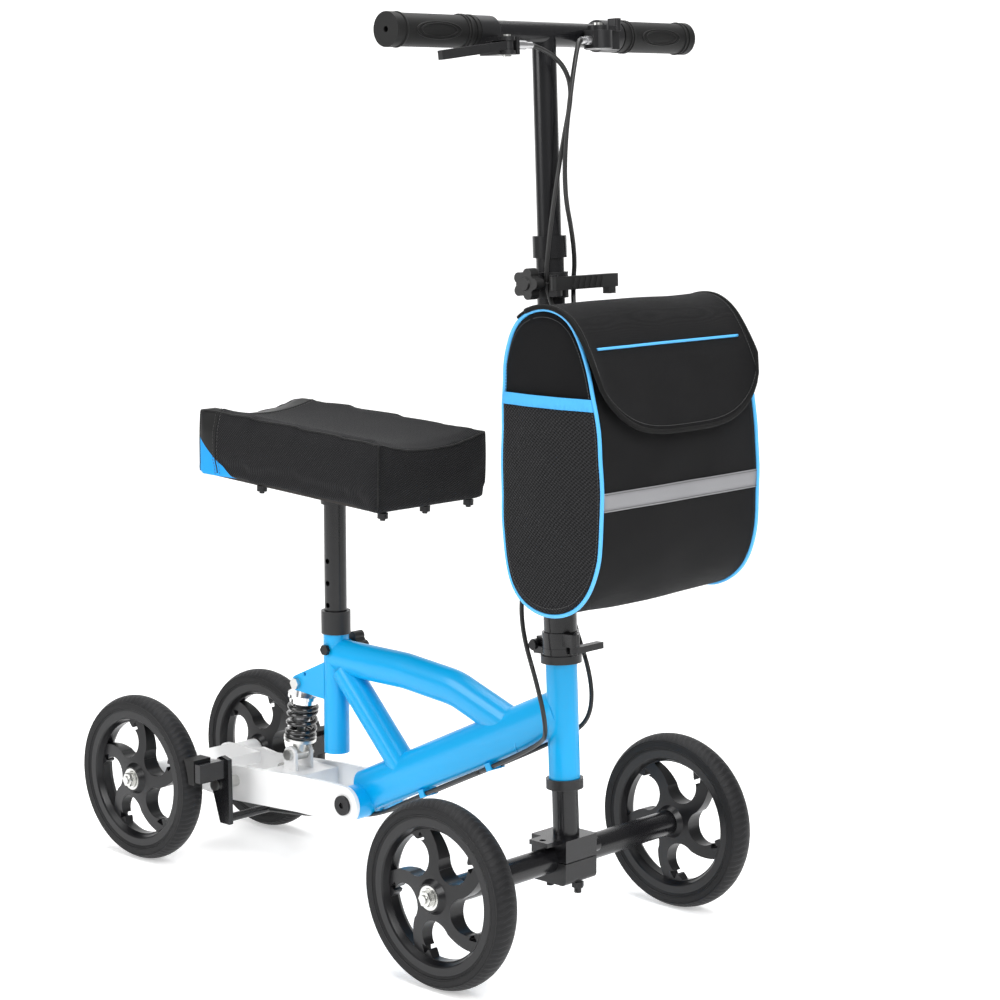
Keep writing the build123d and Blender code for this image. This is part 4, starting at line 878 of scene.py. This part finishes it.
def side_patch(name, side, low, high, bulge, lift, material, inset=0.012):
    """A panel over one side of the bag, between two heights."""
    rings = [cap_ring(side, inset + (1 - inset) * depth / 16, bulge, lift)[0]
             for depth in range(17)]
    points = [point for ring in rings for point in ring]
    faces = ring_faces(len(rings), outline_count)
    last = (len(rings) - 1) * outline_count
    faces.append(tuple(range(last, last + outline_count)))
    made = mesh_object(name, points, faces, [material])
    form = bmesh.new()
    form.from_mesh(made.data)
    for height, normal in ((low, (0, 0, -1)), (high, (0, 0, 1))):
        bmesh.ops.bisect_plane(form, geom=form.verts[:] + form.edges[:] + form.faces[:],
                               plane_co=mm(0, 0, height), plane_no=normal, clear_outer=True)
    bmesh.ops.recalc_face_normals(form, faces=form.faces)
    if form.faces and sum(face.normal.y for face in form.faces) * side < 0:
        bmesh.ops.reverse_faces(form, faces=form.faces)
    form.to_mesh(made.data)
    form.free()
    return made


def thicken(piece, thickness):
    """Gives a sheet its thickness and makes it one plain closed mesh."""
    wall = piece.modifiers.new("wall", "SOLIDIFY")
    wall.thickness = thickness / 1000
    wall.offset = 1.0
    graph = bpy.context.evaluated_depsgraph_get()
    piece.data = bpy.data.meshes.new_from_object(piece.evaluated_get(graph))
    piece.modifiers.clear()
    piece.data.shade_smooth()
    return piece


shell = bag_shell()
belongs(shell, "column", "bag_cloth", "bag_body")
for side, name in ((-1, "right"), (1, "left")):
    pocket = thicken(side_patch(name + "_bag_mesh_pocket", side, 380, pocket_top, 5.5, 1.2,
                                 bag_mesh), 0.8)
    belongs(pocket, "column", "bag_cloth")
    band = thicken(side_patch(name + "_bag_pocket_band", side, band_low, band_high, 5.5, 1.8,
                               bag_band), 1.2)
    belongs(band, "column", "bag_cloth")
    rim = [bag_point(k, side * (bag_half + 0.6), 0.6) / 1000 for k in range(outline_count)]
    piping = tube(name + "_bag_piping", rim, 0.0021, piping_blue, closed=True, sides=10)
    belongs(piping, "column", "bag_cloth")

# The path over the top and down the front, from the flap's seam to the bottom.
top_start = min(range(outline_count), key=lambda k: (outline[k] - Vector((316, 0, 694))).length)
step_ahead = 1 if outline[(top_start + 4) % outline_count].x > outline[top_start].x else -1
front_path = [(top_start + step_ahead * k) % outline_count for k in range(outline_count)]


def front_place(distance, y, lift):
    """A point on the bag a given way along the path from the flap's seam, in metres."""
    for before, after in zip(front_path, front_path[1:]):
        run = (outline[after] - outline[before]).length
        if distance <= run:
            share = distance / run
            return bag_point(before, y, lift).lerp(bag_point(after, y, lift), share) / 1000
        distance -= run
    return bag_point(front_path[-1], y, lift) / 1000


def distance_down_to(height):
    """How far along the path the front of the bag comes down to a height."""
    gone = 0.0
    for before, after in zip(front_path, front_path[1:]):
        if outline[after].x > 380 and outline[after].z < height <= outline[before].z:
            run = outline[before].z - outline[after].z
            return gone + (outline[after] - outline[before]).length * (
                (outline[before].z - height) / run)
        gone += (outline[after] - outline[before]).length
    return gone


def grid(name, rows, material):
    points = [point for row in rows for point in row]
    size = len(rows[0])
    faces = [(i * size + k, (i + 1) * size + k, (i + 1) * size + k + 1, i * size + k + 1)
             for i in range(len(rows) - 1) for k in range(size - 1)]
    made = mesh_object(name, points, faces, [material])
    form = bmesh.new()
    form.from_mesh(made.data)
    bmesh.ops.recalc_face_normals(form, faces=form.faces)
    middle = form.faces[:][len(form.faces) // 2]
    if middle.normal.dot(middle.calc_center_median() - bag_centre / 1000) < 0:
        bmesh.ops.reverse_faces(form, faces=form.faces)
    form.to_mesh(made.data)
    form.free()
    return made


strip_top, strip_bottom = distance_down_to(tape_high), distance_down_to(tape_low)
strip_rows = [[front_place(strip_top + (strip_bottom - strip_top) * i / 3, y, 0.4)
               for y in range(-123, 124, 6)] for i in range(4)]
strip = thicken(grid("bag_reflective_strip", strip_rows, reflective), 0.7)
belongs(strip, "column", "bag_cloth")
strip_lines = [[front_place(way, y, 1.3) for y in range(-122, 123, 4)]
               for way in (strip_top + 1.6, strip_bottom - 1.6)]
pocket_lines = []
for side in (-1, 1):
    line = []
    for k in range(0, outline_count, 2):
        point = bag_centre + (bag_point(k, side * bag_half) - bag_centre) * 0.955
        point.y = side * (bag_half + 2.6)
        line.append(point / 1000)
    pocket_lines.append(line)
belongs(stitches("bag_stitches", strip_lines + pocket_lines, step=3.2, length=2.2),
        "column", "bag_cloth")

flap_half = 129.0
flap_end = distance_down_to(flap_low)


def flap_reach(share):
    return flap_end - 75 * (1 - math.sqrt(max(0.0, 1 - abs(share) ** 3.2)))


def flap_point(share_down, share_across, lift):
    distance = flap_reach(share_across) * share_down
    droop = 9.0 * share_down ** 2.5
    return front_place(distance, flap_half * share_across, lift + droop)


flap_rows = [[flap_point(i / 44, -1 + k / 24, 1.6) for k in range(49)] for i in range(45)]
flap = thicken(grid("bag_flap_cloth", flap_rows, bag_weave), 2.6)
belongs(flap, "flap", "bag_cloth", "bag_flap")


def flap_border(inset, lift):
    """A line round the flap's free edge, inset along the cloth."""
    line = []
    edge = 1 - inset / flap_half
    for i in range(4, 41):
        line.append(flap_point(i / 40 * (1 - inset / flap_end), -edge, lift))
    for k in range(1, 48):
        share = edge * (-1 + k / 24)
        line.append(flap_point(1 - inset / flap_reach(share), share, lift))
    for i in range(40, 3, -1):
        line.append(flap_point(i / 40 * (1 - inset / flap_end), edge, lift))
    return line


binding = tube("bag_flap_binding", flap_border(0.4, 3.0), 0.0026, binding_black, sides=10)
belongs(binding, "flap", "bag_cloth")
line_way = distance_down_to(flap_piping_height)
flap_line = [flap_point(line_way / flap_reach(y / flap_half), y / flap_half, 4.6)
             for y in range(-112, 113, 7)]
belongs(tube("bag_flap_piping", flap_line, 0.0015, piping_blue, sides=8), "flap", "bag_cloth")
belongs(stitches("bag_flap_stitches", [flap_border(6.0, 4.6)], step=3.2, length=2.2),
        "flap", "bag_cloth")


# ---------------------------------------------------------------- straps round the column
def ribbon(name, line, height, thickness, material):
    """A flat closed band standing on edge along a level line."""
    points = []
    count = len(line)
    for i, centre in enumerate(line):
        ahead = (line[(i + 1) % count] - line[i - 1]).normalized()
        out = Vector((ahead.y, -ahead.x, 0)) * thickness / 2000
        rise = Vector((0, 0, height / 2000))
        tuck = Vector((0, 0, 0.0006))
        points += [centre + out - rise + tuck, centre + out + rise - tuck,
                   centre - out + rise, centre - out - rise]
    faces = []
    for i in range(count):
        a, b = 4 * i, 4 * ((i + 1) % count)
        faces += [(a + k, a + (k + 1) % 4, b + (k + 1) % 4, b + k) for k in range(4)]
    made = mesh_object(name, points, faces, [material], smooth=False)
    point_outwards(made)
    return made


straps = []
strap_heights, strap_radius, strap_width = (380.0, 560.0), 16.7, 25
for height in strap_heights:
    centre_x = 272 - 0.0419 * height
    turns = [math.radians(degrees) for degrees in range(70, 291, 10)]
    loop = [mm(centre_x + strap_radius * math.cos(a), strap_radius * math.sin(a),
               100 + 0.999 * height) for a in turns]
    loop += [mm(x, y, 100 + 0.999 * height) for x, y in
             ((275, -16.5), (284, -20), (293.5, -25), (295, -24), (295, 24), (293.5, 25),
              (284, 20), (275, 16.5))]
    straps.append(ribbon("strap", loop, strap_width, 1.5, webbing))
belongs(join_up("bag_strap_loops", straps), "column", "webbing", "bag_straps")


# ---------------------------------------------------------------- brake cables
lean_sine, lean_cosine = 0.0419, 0.9991


def on_column(forward, left, height):
    """A place by its way forward of the column's axis, left of it and up along it."""
    return mm(272 - lean_sine * height + lean_cosine * forward, left,
              100 + lean_cosine * height + lean_sine * forward)


def under_tube(share, side):
    """A place below the down tube, by its share of the tube's length."""
    way, below, run, rise = 337 * share, 28.2, 0.9029, 0.4299
    return mm(-39 + run * way + rise * below, side, 115 + rise * way - run * below)


def cable_route(start, upper, side):
    lower = [mm(274, -8 * side, 668), mm(280, -11 * side, 470), mm(225, -40 * side, 392),
             mm(286, -44 * side, 252), under_tube(0.865, -7 * side), under_tube(0.26, -7 * side),
             mm(-38, -7 * side, 79), mm(-198.6, -7 * side, 64)]
    return [start] + [mm(*point) for point in upper] + lower


cables = {
    "right_brake_cable": cable_route(
        on_column(33, -55.4, 862),
        [(264, 22, 949), (263, -6, 845), (261, -20, 765), (257.5, -21.5, 710)], 1),
    "left_brake_cable": cable_route(
        on_column(30, 22.4, 869),
        [(273, 8, 963), (272, -13, 830), (264, 19, 752), (258, 21.5, 710)], -1),
}
cable_parts = (
    ("top", "handlebar", "column", (0, 0, 0.94), (0, 0, 0.76)),
    ("upper", "column", "front_axle", (0.26, 0, 0.400), (0.27, 0, 0.335)),
    ("lower", "front_axle", "frame", (0.284, 0, 0.285), (0.235, 0, 0.216)),
    ("rear", "frame", "rear_arm", (-0.010, 0, 0.09), (-0.070, 0, 0.08)),
)


def first_where(line, test, start=0):
    return next(i for i in range(start, len(line)) if test(line[i]))


for name, route in cables.items():
    line = smooth_line(route, per_run=24)
    column_cut = first_where(line, lambda point: point.z < 0.72)
    axle_cut = first_where(line, lambda point: point.z < 0.32)
    frame_cut = first_where(line, lambda point: point.x < 0.15, axle_cut)
    cuts = [0, column_cut, axle_cut, frame_cut, len(line) - 1]
    for number, (part, body, next_body, start, end) in enumerate(cable_parts):
        stretch = line[cuts[number]:cuts[number + 1] + 1]
        piece = tube(name + "_" + part, stretch, 0.0025, cable_skin, sides=12)
        if number == 0:
            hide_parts(name)
        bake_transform(piece)


# ---------------------------------------------------------------- shock spring
shock_top, shock_foot = Vector((-141.0, 0, 230.0)), Vector((-155.0, 0, 141.0))
shock_line = (shock_foot - shock_top).normalized()
shock_side = Vector((0, 1, 0))
shock_front = shock_line.cross(shock_side)
coil_start, coil_end, coil_radius, wire = 31.0, 66.0, 16.0, 3.0
coil_turns, dead_turn = 4.6, 0.8


def coil_point(turn):
    """The wire's centre after so many turns, with a flatter turn at each end."""
    end_pitch = 1.4
    ground = min(max((turn - dead_turn) / (coil_turns - 2 * dead_turn), 0), 1)
    closing = end_pitch * (min(turn, dead_turn) + max(0, turn - coil_turns + dead_turn))
    way = coil_start + closing + (coil_end - coil_start - 2 * end_pitch * dead_turn) * ground
    angle = math.tau * turn
    return (shock_top + shock_line * way + coil_radius * (
        shock_side * math.cos(angle) + shock_front * math.sin(angle))) / 1000


coil = tube("shock_coil", [coil_point(coil_turns * i / 150) for i in range(151)], wire / 1000,
            spring_paint, sides=12)
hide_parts("shock_spring")
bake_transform(coil)
